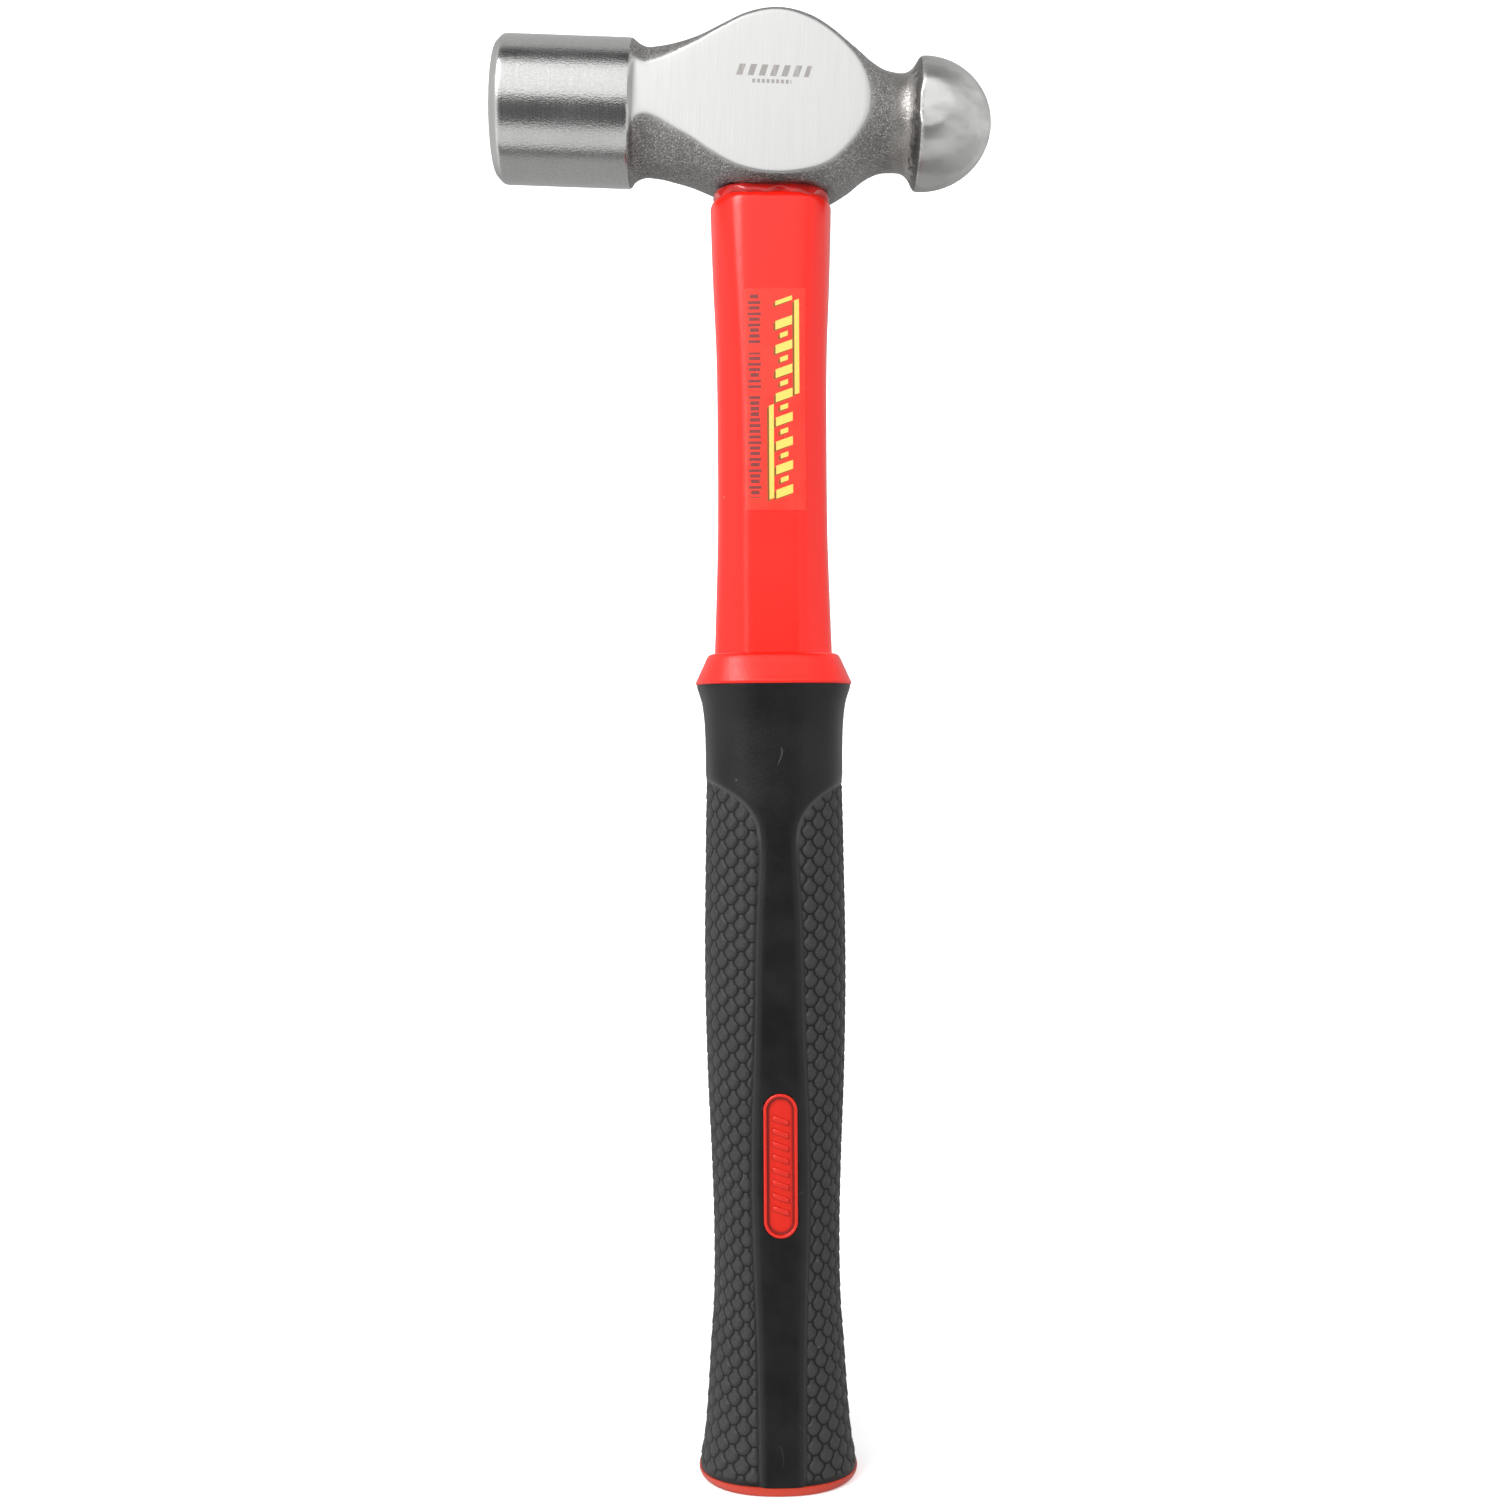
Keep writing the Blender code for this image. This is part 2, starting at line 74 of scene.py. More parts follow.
# Forged body: x, rise, fall, half width (mm), squareness.
BODY_SHAPE = (
    (-28.6, 14.9, 14.7, 16.1, 2.0),
    (-24.0, 15.8, 14.8, 16.3, 2.1),
    (-18.0, 17.8, 15.8, 17.1, 2.4),
    (-12.0, 20.3, 17.6, 18.4, 2.8),
    (-6.0, 22.3, 18.9, 18.9, 3.4),
    (1.0, 23.0, 19.2, 19.2, 3.8),
    (8.0, 22.2, 19.2, 18.9, 3.4),
    (14.0, 20.0, 18.6, 17.8, 3.0),
    (19.0, 16.7, 16.0, 16.2, 2.6),
    (23.0, 13.4, 12.9, 14.4, 2.3),
    (26.5, 11.7, 11.4, 12.6, 2.1),
    (29.9, 11.3, 11.3, 11.3, 2.0),
)

# Eye and what fills it.
EYE_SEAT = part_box("eye_epoxy")[0].z
EYE_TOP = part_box("fibreglass_core")[1].z
EYE_BOTTOM_SIZE = (22.0 * MM, 15.0 * MM)
EYE_TAPER = 2.5 * MM
EYE_SQUARENESS = 3.0
EYE_POINTS = 160
CORE_SIZE = (17.5 * MM, 11.5 * MM)
GAP = 0.3 * MM
SEAT_REACH = 16.65 * MM

# Jacket: share of its length, width, depth, front flat, side flat (mm), crispness of corners.
JACKET_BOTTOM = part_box("shaft_jacket")[0].z
JACKET_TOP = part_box("shaft_jacket")[1].z
JACKET_SHOULDER = 2.4 * MM
JACKET_SHAPE = (
    (0.0, 28.4, 22.4, 13.6, 9.0, 18),
    (0.168, 27.0, 21.2, 13.5, 8.6, 18),
    (0.307, 26.1, 20.4, 13.5, 8.2, 18),
    (0.507, 25.9, 20.2, 13.6, 8.2, 18),
    (0.680, 26.3, 20.4, 14.4, 8.4, 16),
    (0.837, 27.9, 21.0, 16.2, 9.0, 12),
    (1.0, 29.3, 21.6, 18.0, 9.6, 9),
)

LABEL_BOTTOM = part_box("shaft_label")[0].z
LABEL_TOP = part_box("shaft_label")[1].z
LABEL_WIDTH = 14.9 * MM
LABEL_SHIFT = 0.9 * MM

# Grip.
COLLAR_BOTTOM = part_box("grip_collar")[0].z
COLLAR_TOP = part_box("grip_collar")[1].z
GRIP_SQUARENESS = 2.3
SLEEVE_SIZE = (25.4 * MM, 19.6 * MM)
SLEEVE_SQUARENESS = 2.6
RUBBER_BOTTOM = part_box("rubber_grip")[0].z
RUBBER_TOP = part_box("rubber_grip")[1].z
# Share of the rubber's length, width, depth (mm).
RUBBER_SHAPE = (
    (0.0, 37.8, 32.2),
    (0.040, 35.2, 30.4),
    (0.092, 33.5, 28.6),
    (0.157, 32.0, 26.9),
    (0.217, 30.5, 25.8),
    (0.304, 30.2, 25.5),
    (0.402, 31.2, 26.2),
    (0.505, 32.8, 27.3),
    (0.641, 33.8, 28.1),
    (0.804, 33.1, 27.6),
    (0.891, 32.5, 27.2),
    (0.945, 32.8, 27.6),
    (0.978, 34.0, 28.8),
    (1.0, 36.4, 30.6),
)
GRIP_SHIFT = 0.8 * MM               # the grip is a little turned: its front sits to +X
BADGE_RADIUS = 3.95 * MM
BADGE_STRAIGHT = 12.85 * MM         # half of the pill's straight part
BADGE_HEIGHT = 75.2 * MM
BADGE_PROUD = 0.3 * MM
BADGE_RECESS = 1.0 * MM
SCALE_PITCH = 2.75 * MM             # between columns of scales, round the grip
SCALE_LENGTH = 4.3 * MM             # between scales, down a column
SCALE_SWING = 0.20                  # sideways swing of a groove, in columns
SCALE_SKEW = 1.7
SCALE_GROOVE = 0.11 * MM            # half the width of a groove
SCALE_ROUND = 0.8 * MM              # how far in a scale's edge is rounded
SCALE_SLANT = 0.8                   # distance to a slanting groove, as a share of the sideways one
SCALE_RELIEF = 0.42 * MM
PANEL_SINK = 0.55 * MM              # side panels lie this far under the smooth rubber
PANEL_SHOULDER = 2.0 * MM           # the smooth strip rounds over within this of its edge
ARCH = 149                          # height where the strip starts to flare (mm)


# ---- shapes ----

def through(stations, at):
    """Values on a smooth curve through stations sorted by their first value: in each span a
    cubic whose end slopes are the chords of the neighbouring stations."""
    table = np.array(stations, float)
    key, values = table[:, 0], table[:, 1:]
    i = np.clip(np.searchsorted(key, at, side="right") - 1, 0, len(key) - 2)
    before, after = np.maximum(i - 1, 0), np.minimum(i + 2, len(key) - 1)
    span = (key[i + 1] - key[i])[:, None]
    t = ((at - key[i]) / (key[i + 1] - key[i]))[:, None]
    slope_in = (values[i + 1] - values[before]) / (key[i + 1] - key[before])[:, None] * span
    slope_out = (values[after] - values[i]) / (key[after] - key[i])[:, None] * span
    return (values[i] * (2 * t ** 3 - 3 * t ** 2 + 1) + slope_in * (t ** 3 - 2 * t ** 2 + t)
            + values[i + 1] * (3 * t ** 2 - 2 * t ** 3) + slope_out * (t ** 3 - t ** 2))


def step(low, high, value):
    """Smooth step: 0 below low, 1 above high, a cubic between."""
    t = np.clip((value - low) / (high - low), 0, 1)
    return t * t * (3 - 2 * t)


def superellipse(half_a, half_b, power, angle):
    """Point at an angle on |a|^power + |b|^power = 1, stretched to the two half sizes."""
    c, s = np.cos(angle), np.sin(angle)
    reach = (np.abs(c) ** power + np.abs(s) ** power) ** (-1 / power)
    return half_a * reach * c, half_b * reach * s


def facets(shape, grow, angle):
    """Octagon with softened corners: the distances past its four pairs of planes, raised to
    a high power and summed, are 1. shape is width, depth, front flat, side flat, power."""
    half_w, half_d = shape[:, 0:1] / 2, shape[:, 1:2] / 2
    front, side, power = shape[:, 2:3] / 2, shape[:, 3:4] / 2, shape[:, 4:5]
    lean = np.hypot(half_w - front, half_d - side)
    nx, ny = (half_d - side) / lean, (half_w - front) / lean
    corner = nx * front + ny * half_d + grow
    c, s = np.cos(angle), np.sin(angle)
    total = sum(np.abs(part) ** power for part in (
        c / (half_w + grow), s / (half_d + grow),
        (c * nx + s * ny) / corner, (c * nx - s * ny) / corner))
    reach = total ** (-1 / power)
    return reach * c, reach * s


def angles(count):
    return np.arange(count)[None, :] * TURN / count


def stack(x, y, z):
    """Rings from three arrays that spread to one rows-by-points grid."""
    return np.stack(np.broadcast_arrays(x, y, z), -1)


def soften(rows, passes=2):
    """Round the corners of a profile: each row moves towards the mean of its neighbours."""
    for _ in range(passes):
        rows[1:-1] = (rows[:-2] + 2 * rows[1:-1] + rows[2:]) / 4
    return rows


def weave(r, up, c, on, cols):
    """Quads between the rows r and up and the columns c and on of a grid."""
    quads = np.stack([r * cols + c, r * cols + on, up * cols + on, up * cols + c], -1)
    return quads.reshape(-1, 4)


def shell(rings, bore=False):
    """Points and faces of a closed surface through rings of equal count. With a bore the
    last ring joins the first; otherwise each end closes on a point in its middle."""
    rows, cols = rings.shape[:2]
    points = rings.reshape(-1, 3)
    r = np.arange(rows if bore else rows - 1)[:, None]
    c = np.arange(cols)[None, :]
    up, on = (r + 1) % rows, (c + 1) % cols
    quads, fans = weave(r, up, c, on, cols), NO_TRIANGLES
    if not bore:
        ends = np.array([rings[0].mean(0), rings[-1].mean(0)])
        c, on, last = c[0], on[0], (rows - 1) * cols
        low = np.stack([on, c, np.full(cols, len(points))], -1)
        top = np.stack([last + c, last + on, np.full(cols, len(points) + 1)], -1)
        points, fans = np.concatenate([points, ends]), np.concatenate([low, top])
    return points, quads, fans


def join(*parts):
    """Several closed surfaces as one list of points and faces."""
    points, quads, fans, start = [], [], [], 0
    for p, q, f in parts:
        points.append(p)
        quads.append(q + start)
        fans.append(f + start)
        start += len(p)
    return np.concatenate(points), np.concatenate(quads), np.concatenate(fans)


def add_to_scene(name, data):
    made = bpy.data.objects.new(name, data)
    bpy.context.scene.collection.objects.link(made)
    return made


def make(name, surface, material, values=None, sharp=40):
    """Mesh object from a surface, with optional point attributes and its material."""
    points, quads, fans = surface
    corners = np.concatenate([quads.ravel(), fans.ravel()]).astype(np.int32)
    sizes = np.concatenate([np.full(len(quads), 4), np.full(len(fans), 3)])
    starts = (np.cumsum(sizes) - sizes).astype(np.int32)
    mesh = bpy.data.meshes.new(name)
    mesh.vertices.add(len(points))
    mesh.vertices.foreach_set("co", points.astype(np.float32).ravel())
    mesh.loops.add(len(corners))
    mesh.loops.foreach_set("vertex_index", corners)
    mesh.polygons.add(len(starts))
    mesh.polygons.foreach_set("loop_start", starts)
    mesh.update(calc_edges=True)
    for key, data in (values or {}).items():
        layer = mesh.attributes.new(key, "FLOAT", "POINT")
        layer.data.foreach_set("value", data.astype(np.float32).ravel())
    mesh.shade_smooth()
    mesh.set_sharp_from_angle(angle=math.radians(sharp))
    piece = add_to_scene(name, mesh)
    if material:
        mesh.materials.append(material)
    return piece


def belongs(piece, replaced):
    """The piece rides on the hammer and stands for a CAD node, which it hides."""
    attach(piece, "root")
    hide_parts(replaced)


# ---- shader tools ----

def is_socket(value):
    return isinstance(value, bpy.types.NodeSocket)


def tree_of(values):
    """Node tree of the first socket among the values."""
    return next(value for value in values if is_socket(value)).id_data


def put(socket, value):
    """Link a socket, or set a plain value."""
    if is_socket(value):
        socket.id_data.links.new(value, socket)
    else:
        socket.default_value = value


def node(tree, kind, inputs=None, **settings):
    made = tree.nodes.new("ShaderNode" + kind)
    for key, value in settings.items():
        setattr(made, key, value)
    for key, value in (inputs or {}).items():
        put(made.inputs[key], value)
    return made


def calc(operation, *values, clamp=False):
    inputs = dict(enumerate(values))
    return node(tree_of(values), "Math", inputs, operation=operation, use_clamp=clamp).outputs[0]


mul, add, sub, div, magnitude, under, fract, larger = (partial(calc, operation) for operation in (
    "MULTIPLY", "ADD", "SUBTRACT", "DIVIDE", "ABSOLUTE", "LESS_THAN", "FRACT", "MAXIMUM"))


def spread(value, start, end, low=0.0, high=1.0, kind="SMOOTHSTEP"):
    """Value between start and end brought to low and high."""
    inputs = {"Value": value, "From Min": start, "From Max": end, "To Min": low, "To Max": high}
    return node(value.id_data, "MapRange", inputs, interpolation_type=kind).outputs["Result"]


def level(share, low, high):
    """Number between low and high by share."""
    return node(share.id_data, "Mix", {0: share, 2: low, 3: high}, data_type="FLOAT").outputs[0]


def tint(share, first, second):
    """Colour first turned into second by share."""
    first, second = (c if is_socket(c) else (*c, 1) for c in (first, second))
    return node(share.id_data, "Mix", {0: share, 6: first, 7: second}, data_type="RGBA").outputs[2]


def coats(colour, *layers):
    """Colour under layers, each of which has a mask, its strength and its own colour."""
    for mask, strength, over in layers:
        colour = tint(mask if strength == 1 else mul(mask, strength), colour, over)
    return colour


def scaled(colour, share):
    return tuple(c * share for c in colour)


def place(tree, scale=(1, 1, 1), location=(0, 0, 0), rotation=(0, 0, 0)):
    """Object coordinates, turned, scaled and moved."""
    source = node(tree, "TexCoord").outputs["Object"]
    inputs = {"Vector": source, "Scale": scale, "Location": location, "Rotation": rotation}
    return node(tree, "Mapping", inputs).outputs[0]


def axes(vector):
    return node(vector.id_data, "SeparateXYZ", {0: vector}).outputs[:]


def painted(tree, name):
    """Value that the mesh carries at its points."""
    return node(tree, "Attribute", attribute_name=name).outputs["Fac"]


def bump(height, distance, strength, below=None):
    """Normal of a relief, over the normal of a coarser one below."""
    inputs = {"Height": height, "Distance": distance, "Strength": strength}
    if below:
        inputs["Normal"] = below
    return node(height.id_data, "Bump", inputs).outputs[0]


def finish(made, **sockets):
    """Links or sets sockets of the material's Principled shader; returns the material."""
    for key, value in sockets.items():
        put(made.node_tree.nodes["Principled BSDF"].inputs[key.replace("_", " ")], value)
    return made


def material(name, **constants):
    """New material and its node tree."""
    made = bpy.data.materials.new(name)
    made.use_nodes = True
    return finish(made, **constants), made.node_tree


# ---- effects shared by materials ----

def effect(**inputs):
    """Makes a shader node group of a function that draws one. The inputs are named with
    their defaults, None for a vector; the outputs are the ones that the function returns.
    Its name then places the group in a material and gives the outputs, or the only one."""
    def build(draw):
        tree = bpy.data.node_groups.new(draw.__name__, "ShaderNodeTree")
        for key, value in inputs.items():
            kind = "NodeSocketVector" if value is None else "NodeSocketFloat"
            socket = tree.interface.new_socket(key, in_out="INPUT", socket_type=kind)
            if value is not None:
                socket.default_value = value
        drawn = draw(*tree.nodes.new("NodeGroupInput").outputs[:len(inputs)])
        for key in drawn:
            tree.interface.new_socket(key, in_out="OUTPUT", socket_type="NodeSocketFloat")
        end = tree.nodes.new("NodeGroupOutput")
        for key, socket in drawn.items():
            put(end.inputs[key], socket)

        def placed(*values, **named):
            given = dict(zip(inputs, values), **named)
            outputs = node(tree_of(given.values()), "Group", given, node_tree=tree).outputs
            return outputs[0] if len(drawn) == 1 else outputs
        return placed
    return build


@effect(Vector=None, Scale=100.0, Width=0.2)
def mottle(vector, scale, width):
    """Soft cloudy variation: noise of three octaves with its contrast raised."""
    noise = node(vector.id_data, "TexNoise", {"Vector": vector, "Scale": scale, "Detail": 3.0})
    return {"Value": spread(noise.outputs[0], sub(0.5, width), add(0.5, width))}


@effect(Vector=None)
def lines(vector):
    """Fine parallel lines along the squeezed direction of the vector: two noises, the second
    finer and weaker, so that some lines are deeper than others."""
    coarse, fine = (
        node(vector.id_data, "TexNoise", {"Vector": vector, "Scale": scale, "Detail": detail})
        for scale, detail in ((1.0, 2.0), (3.1, 3.0)))
    both = add(mul(coarse.outputs[0], 0.6), mul(fine.outputs[0], 0.4))
    return {"Value": spread(both, 0.3, 0.7, kind="LINEAR")}


@effect(Vector=None, Scale=500.0, Size=0.3, Amount=0.1)
def specks(vector, scale, size, amount):
    """Scattered dots: cells whose random number is under Amount, round to Size of a cell."""
    cell = node(vector.id_data, "TexVoronoi", {"Vector": vector, "Scale": scale})
    number = node(vector.id_data, "SeparateColor", {0: cell.outputs["Color"]}).outputs[0]
    dot = spread(cell.outputs["Distance"], size, mul(size, 0.5))
    return {"Mask": mul(dot, under(number, amount))}


@effect(Along=0.0, Across=0.0, Lean=0.0, Pitch=0.0, Fill=0.0, Half_Height=0.0, Half_Length=0.0)
def bars(along, across, lean, pitch, fill, half_height, half_length):
    """Row of leaning bars: the position along the row, sheared by the position across, is
    cut into pitches, of which the first part is the bar."""
    sheared = add(along, mul(across, lean))
    bar = under(fract(div(sheared, pitch)), fill)
    inside = under(magnitude(across), half_height)
    within = under(magnitude(sheared), half_length)
    return {"Mask": mul(bar, mul(inside, within))}


@effect(Across=0.0, Down=0.0)
def scales(across, down):
    """Distance into a scale from its grooves, 0 to 1, by the formula of scale_relief(), and
    how near the lower end of the scale is."""
    t = fract(mul(down, -2.0))
    shifted = sub(add(across, 2.0), under(fract(down), 0.5))
    column = sub(mul(fract(mul(shifted, 0.5)), 2.0), 1.0)
    swing = calc("COSINE", mul(calc("POWER", t, SCALE_SKEW), math.pi))
    side = sub(magnitude(column), add(mul(swing, SCALE_SWING), 0.5))
    lower = under(side, 0.0)
    end = mul(level(lower, t, sub(1.0, t)), SCALE_LENGTH / 2)
    away = sub(calc("MINIMUM", mul(magnitude(side), SCALE_SLANT * SCALE_PITCH), end), SCALE_GROOVE)
    tip = add(0.5, mul(sub(t, sub(1.0, lower)), 0.5))
    return {"Height": div(away, SCALE_ROUND, clamp=True), "Tip": tip}


# ---- materials ----

def head_place(tree, scale=(1, 1, 1)):
    """Object coordinates brought to the head's own frame: its axis level, its middle at 0."""
    turn = -HEAD_DROOP
    shift = (-HEAD_AXIS_HEIGHT * math.sin(turn), 0, -HEAD_AXIS_HEIGHT * math.cos(turn))
    level_head = place(tree, location=shift, rotation=(0, turn, 0))
    return node(tree, "VectorMath", {0: level_head, 1: scale}, operation="MULTIPLY").outputs[0]


def turned_steel():
    """Lathe-turned poll: rings round the axis, on the face as circles."""
    made, tree = material("turned_steel", Metallic=1.0)
    here = place(tree)
    x, y, z = axes(head_place(tree))
    radius = calc("SQRT", add(mul(y, y), mul(z, z)))
    travel, around = mul(add(x, radius), 2600.0), mul(calc("ARCTAN2", z, y), 0.8)
    rings = lines(node(tree, "CombineXYZ", {0: travel, 1: around}).outputs[0])
    clouds = mottle(here, 90.0, 0.25)
    stains = specks(here, 160.0, 0.22, 0.05)
    grain = mottle(head_place(tree, (1, 1, 2)), 1500.0, 0.3)
    # The bevel round the face is ground dull, and its colour is darkened: painted shade.
    back, rim = FACE_CHAMFER - FACE_REACH, FACE_RADIUS - FACE_CHAMFER
    bevel = mul(spread(x, back + 0.1 * MM, back - 0.3 * MM), spread(radius, rim - 0.5 * MM, rim))
    colour = coats(
        (0.58, 0.58, 0.57), (clouds, 0.5, (0.51, 0.51, 0.505)), (rings, 0.45, (0.70, 0.70, 0.69)),
        (stains, 0.35, (0.42, 0.38, 0.34)), (bevel, 0.8, (0.34, 0.34, 0.335)),
        (grain, 0.5, (0.46, 0.46, 0.455)))
    rough = level(bevel, add(level(clouds, 0.16, 0.22), mul(rings, 0.06)), 0.42)
    skin = bump(rings, 0.02 * MM, 0.3, bump(grain, 0.04 * MM, 0.45))
    return finish(made, Base_Color=colour, Roughness=rough, Normal=skin)


def forged_steel():
    """Shot-blasted forging whose cheeks are ground flat and brushed up and down."""
    made, tree = material("forged_steel", Metallic=1.0)
    here = head_place(tree)
    x, y, z = axes(here)
    # Masks: the ground cheek flats; a thin band of forging along their rim, painted lighter as a
    # painted highlight; and a band of the flat along its rim, painted darker as painted shade.
    ground, edge, cheek_rim_shade = (
        spread(magnitude(y), CHEEK - start * MM, CHEEK - end * MM)
        for start, end in ((0.25, 0.12), (0.9, 0.2), (0.02, 0.09)))
    brushed = lines(head_place(tree, (4200, 4200, 60)))
    clouds = mottle(here, 120.0, 0.22)
    blast = mottle(here, 2300.0, 0.2)
    dents = node(tree, "TexVoronoi", {"Vector": here, "Scale": 1500.0}).outputs["Distance"]
    glints = specks(here, 2500.0, 0.5, 0.3)
    pits = specks(here, 170.0, 0.06, 0.16)
    # Near the ball the neck is turned smooth, up to a rough edge under the ball's rim; there its
    # colour is also painted lighter, a painted highlight.
    frayed = add(x, mul(sub(mottle(here, 500.0, 0.3), 0.5), 2.0 * MM))
    smooth = mul(spread(frayed, 26.5 * MM, 30.5 * MM), spread(frayed, 33.6 * MM, 33.0 * MM))
    burr = spread(frayed, 33.0 * MM, 33.8 * MM)
    # Etched mark on the front cheek: leaning bars over a row of dots.
    mark = bars(x, sub(z, 6.2 * MM), Lean=-0.3, Pitch=2.6 * MM, Fill=0.55,
                Half_Height=1.3 * MM, Half_Length=8.9 * MM)
    dots = bars(x, sub(z, 3.7 * MM), Lean=0.0, Pitch=1.1 * MM, Fill=0.62,
                Half_Height=0.45 * MM, Half_Length=4.6 * MM)
    etched = mul(mul(larger(mark, dots), under(y, 0.0)), spread(brushed, 0.1, 0.5, 0.35, 0.75))
    bright = coats(
        (0.56, 0.56, 0.555), (brushed, 0.8, (0.67, 0.67, 0.665)), (clouds, 0.3, (0.6, 0.6, 0.59)),
        # Painted shade: the flat darkens in a band along its rim.
        (cheek_rim_shade, 0.4, (0.40, 0.40, 0.395)), (larger(etched, mul(pits, 0.5)), 1, (0.25, 0.225, 0.21)))
    dark = coats(
        (0.165, 0.158, 0.154), (blast, 1, (0.40, 0.39, 0.385)), (clouds, 0.4, (0.26, 0.25, 0.245)),
        # Painted highlight: the forging is lighter in a thin band along the cheek's rim.
        (glints, 0.7, (0.75, 0.74, 0.72)), (edge, 0.35, (0.5, 0.5, 0.49)),
        # Painted highlight: the turned neck near the ball is lighter.
        (smooth, 0.6, (0.37, 0.35, 0.33)), (burr, 0.7, (0.10, 0.095, 0.09)))
    cast = level(smooth, level(glints, 0.46, 0.3), 0.34)
    relief = mul(add(blast, mul(dents, 0.8)), level(smooth, 1.0, 0.7))
    skin = node(tree, "Mix", {0: ground, 4: bump(relief, 0.12 * MM, 0.7),
                              5: bump(brushed, 0.02 * MM, 0.3)}, data_type="VECTOR").outputs[1]
    return finish(made, Base_Color=tint(ground, dark, bright), Normal=skin,
                  Roughness=level(ground, cast, level(brushed, 0.36, 0.48)))


def ball_steel():
    """Ball peen, turned and then buffed by hand, so its shine is patchy."""
    made, tree = material("ball_steel", Metallic=1.0)
    here = head_place(tree)
    patches = mottle(head_place(tree, (0.6, 1.0, 1.6)), 130.0, 0.14)
    fine = lines(head_place(tree, (2600, 500, 500)))
    rim = spread(axes(here)[0], PEEN_RIM + 0.9 * MM, PEEN_RIM + 0.1 * MM)
    rim = mul(rim, mottle(here, 1400.0, 0.1))
    colour = coats((0.45, 0.45, 0.44), (patches, 1, (0.58, 0.58, 0.565)),
                   (rim, 0.6, (0.2, 0.19, 0.18)))
    return finish(made, Base_Color=colour,
                  Roughness=add(level(patches, 0.38, 0.31), mul(fine, 0.06)),
                  Normal=bump(fine, 0.02 * MM, 0.3, bump(patches, 0.3 * MM, 0.12)))


def red_plastic(name, base, roughness, ripple=0.4, shaded_creases=False):
    """Moulded red: faint clouds, a fine orange-peel skin, a little dust, and painted shade where
    the piece has creases."""
    made, tree = material(name)
    here = place(tree)
    clouds = mottle(here, 70.0, 0.3)
    peel = mottle(place(tree, (1, 1, 0.5)), 900.0, 0.4)
    layers = [(clouds, 1, scaled(base, 0.96))]
    if shaded_creases:
        # Painted shade: creases and the corners of recesses are darkened to a quarter of the base
        # colour.
        layers.append((painted(tree, "crease_shade"), 0.85, scaled(base, 0.25)))
    layers.append((specks(here, 260.0, 0.07, 0.05), 0.35, (0.8, 0.4, 0.35)))
    return finish(made, Base_Color=coats(base, *layers), Normal=bump(peel, 0.04 * MM, ripple),
                  Roughness=level(clouds, roughness, roughness + 0.03))


def label_film():
    """Clear film on the red, printed with leaning yellow bars, two rails and dark ticks."""
    made, tree = material("label_film")
    here = place(tree)
    x, y, z = axes(here)
    up = sub(z, (LABEL_TOP + LABEL_BOTTOM) / 2)
    lean, pitch = -0.35, 5.6 * MM

    def print_of(dx, dz):
        """The yellow print, moved by dx and dz."""
        side, high = sub(x, 2.75 * MM + dx), sub(up, dz)
        marks = larger(
            bars(high, side, lean, pitch, Fill=0.36, Half_Height=1.95 * MM, Half_Length=23.4 * MM),
            bars(add(high, 2.3 * MM), side, lean, pitch, Fill=0.2, Half_Height=0.9 * MM,
                 Half_Length=20.0 * MM))
        for sign in (1, -1):
            rail = bars(sub(high, sign * 12.2 * MM), sub(side, sign * 3.0 * MM), lean, Pitch=1.0,
                        Fill=1.0, Half_Height=0.55 * MM, Half_Length=10.9 * MM)
            marks = larger(marks, rail)
        return marks

    yellow, shade = print_of(0, 0), print_of(-0.5 * MM, -0.45 * MM)
    # Ticks of uneven width in three runs.
    order = div(up, 1.3 * MM)
    number = {"W": calc("FLOOR", order)}
    uneven = node(tree, "TexWhiteNoise", number, noise_dimensions="1D").outputs[0]
    ticks = mul(under(magnitude(add(x, 4.1 * MM)), level(uneven, 1.0 * MM, 1.6 * MM)),
                under(fract(order), level(uneven, 0.72, 0.5)))
    runs = 0.0
    for middle, half in ((18.4, 6.1), (6.7, 4.2), (-10.9, 12.0)):
        runs = add(under(magnitude(sub(up, middle * MM)), half * MM), runs)
    clouds = mottle(here, 160.0, 0.25)
    colour = coats(
        (0.88, 0.021, 0.009), (clouds, 1, (0.91, 0.031, 0.015)),
        (mul(ticks, runs), 0.9, (0.11, 0.035, 0.035)), (shade, 0.85, (0.09, 0.08, 0.006)),
        (yellow, 1, (0.84, 0.56, 0.11)))
    return finish(made, Base_Color=colour, Roughness=level(clouds, 0.24, 0.3))


def resin(name, colour, roughness, depth):
    """Cast resin: glossy, darker where it is deep, with small pale bubbles."""
    made, tree = material(name, Coat_Weight=0.2, Coat_Roughness=0.05)
    here = place(tree)
    clouds = mottle(here, 260.0, 0.2)
    bubbles = specks(here, 900.0, 0.25, 0.06)
    pale = tuple(min(1, c * 2 + 0.05) for c in colour)
    mixed = coats(colour, (clouds, 1, scaled(colour, depth)), (bubbles, 1, pale))
    return finish(made, Base_Color=mixed, Roughness=level(clouds, roughness, roughness + 0.1),
                  Normal=bump(bubbles, 0.08 * MM, 0.6, bump(clouds, 0.3 * MM, 0.2)))


def fibreglass():
    """Pultruded rod: pale resin with glass strands, seen end-on as dots."""
    made, tree = material("fibreglass")
    strands = mottle(place(tree, (1, 1, 0.02)), 2600.0, 0.12)
    colour = coats((0.55, 0.47, 0.26), (strands, 1, (0.80, 0.74, 0.50)),
                   (mottle(place(tree), 200.0, 0.25), 0.4, (0.45, 0.36, 0.18)))
    return finish(made, Base_Color=colour, Roughness=level(strands, 0.65, 0.4),
                  Normal=bump(strands, 0.06 * MM, 0.5))


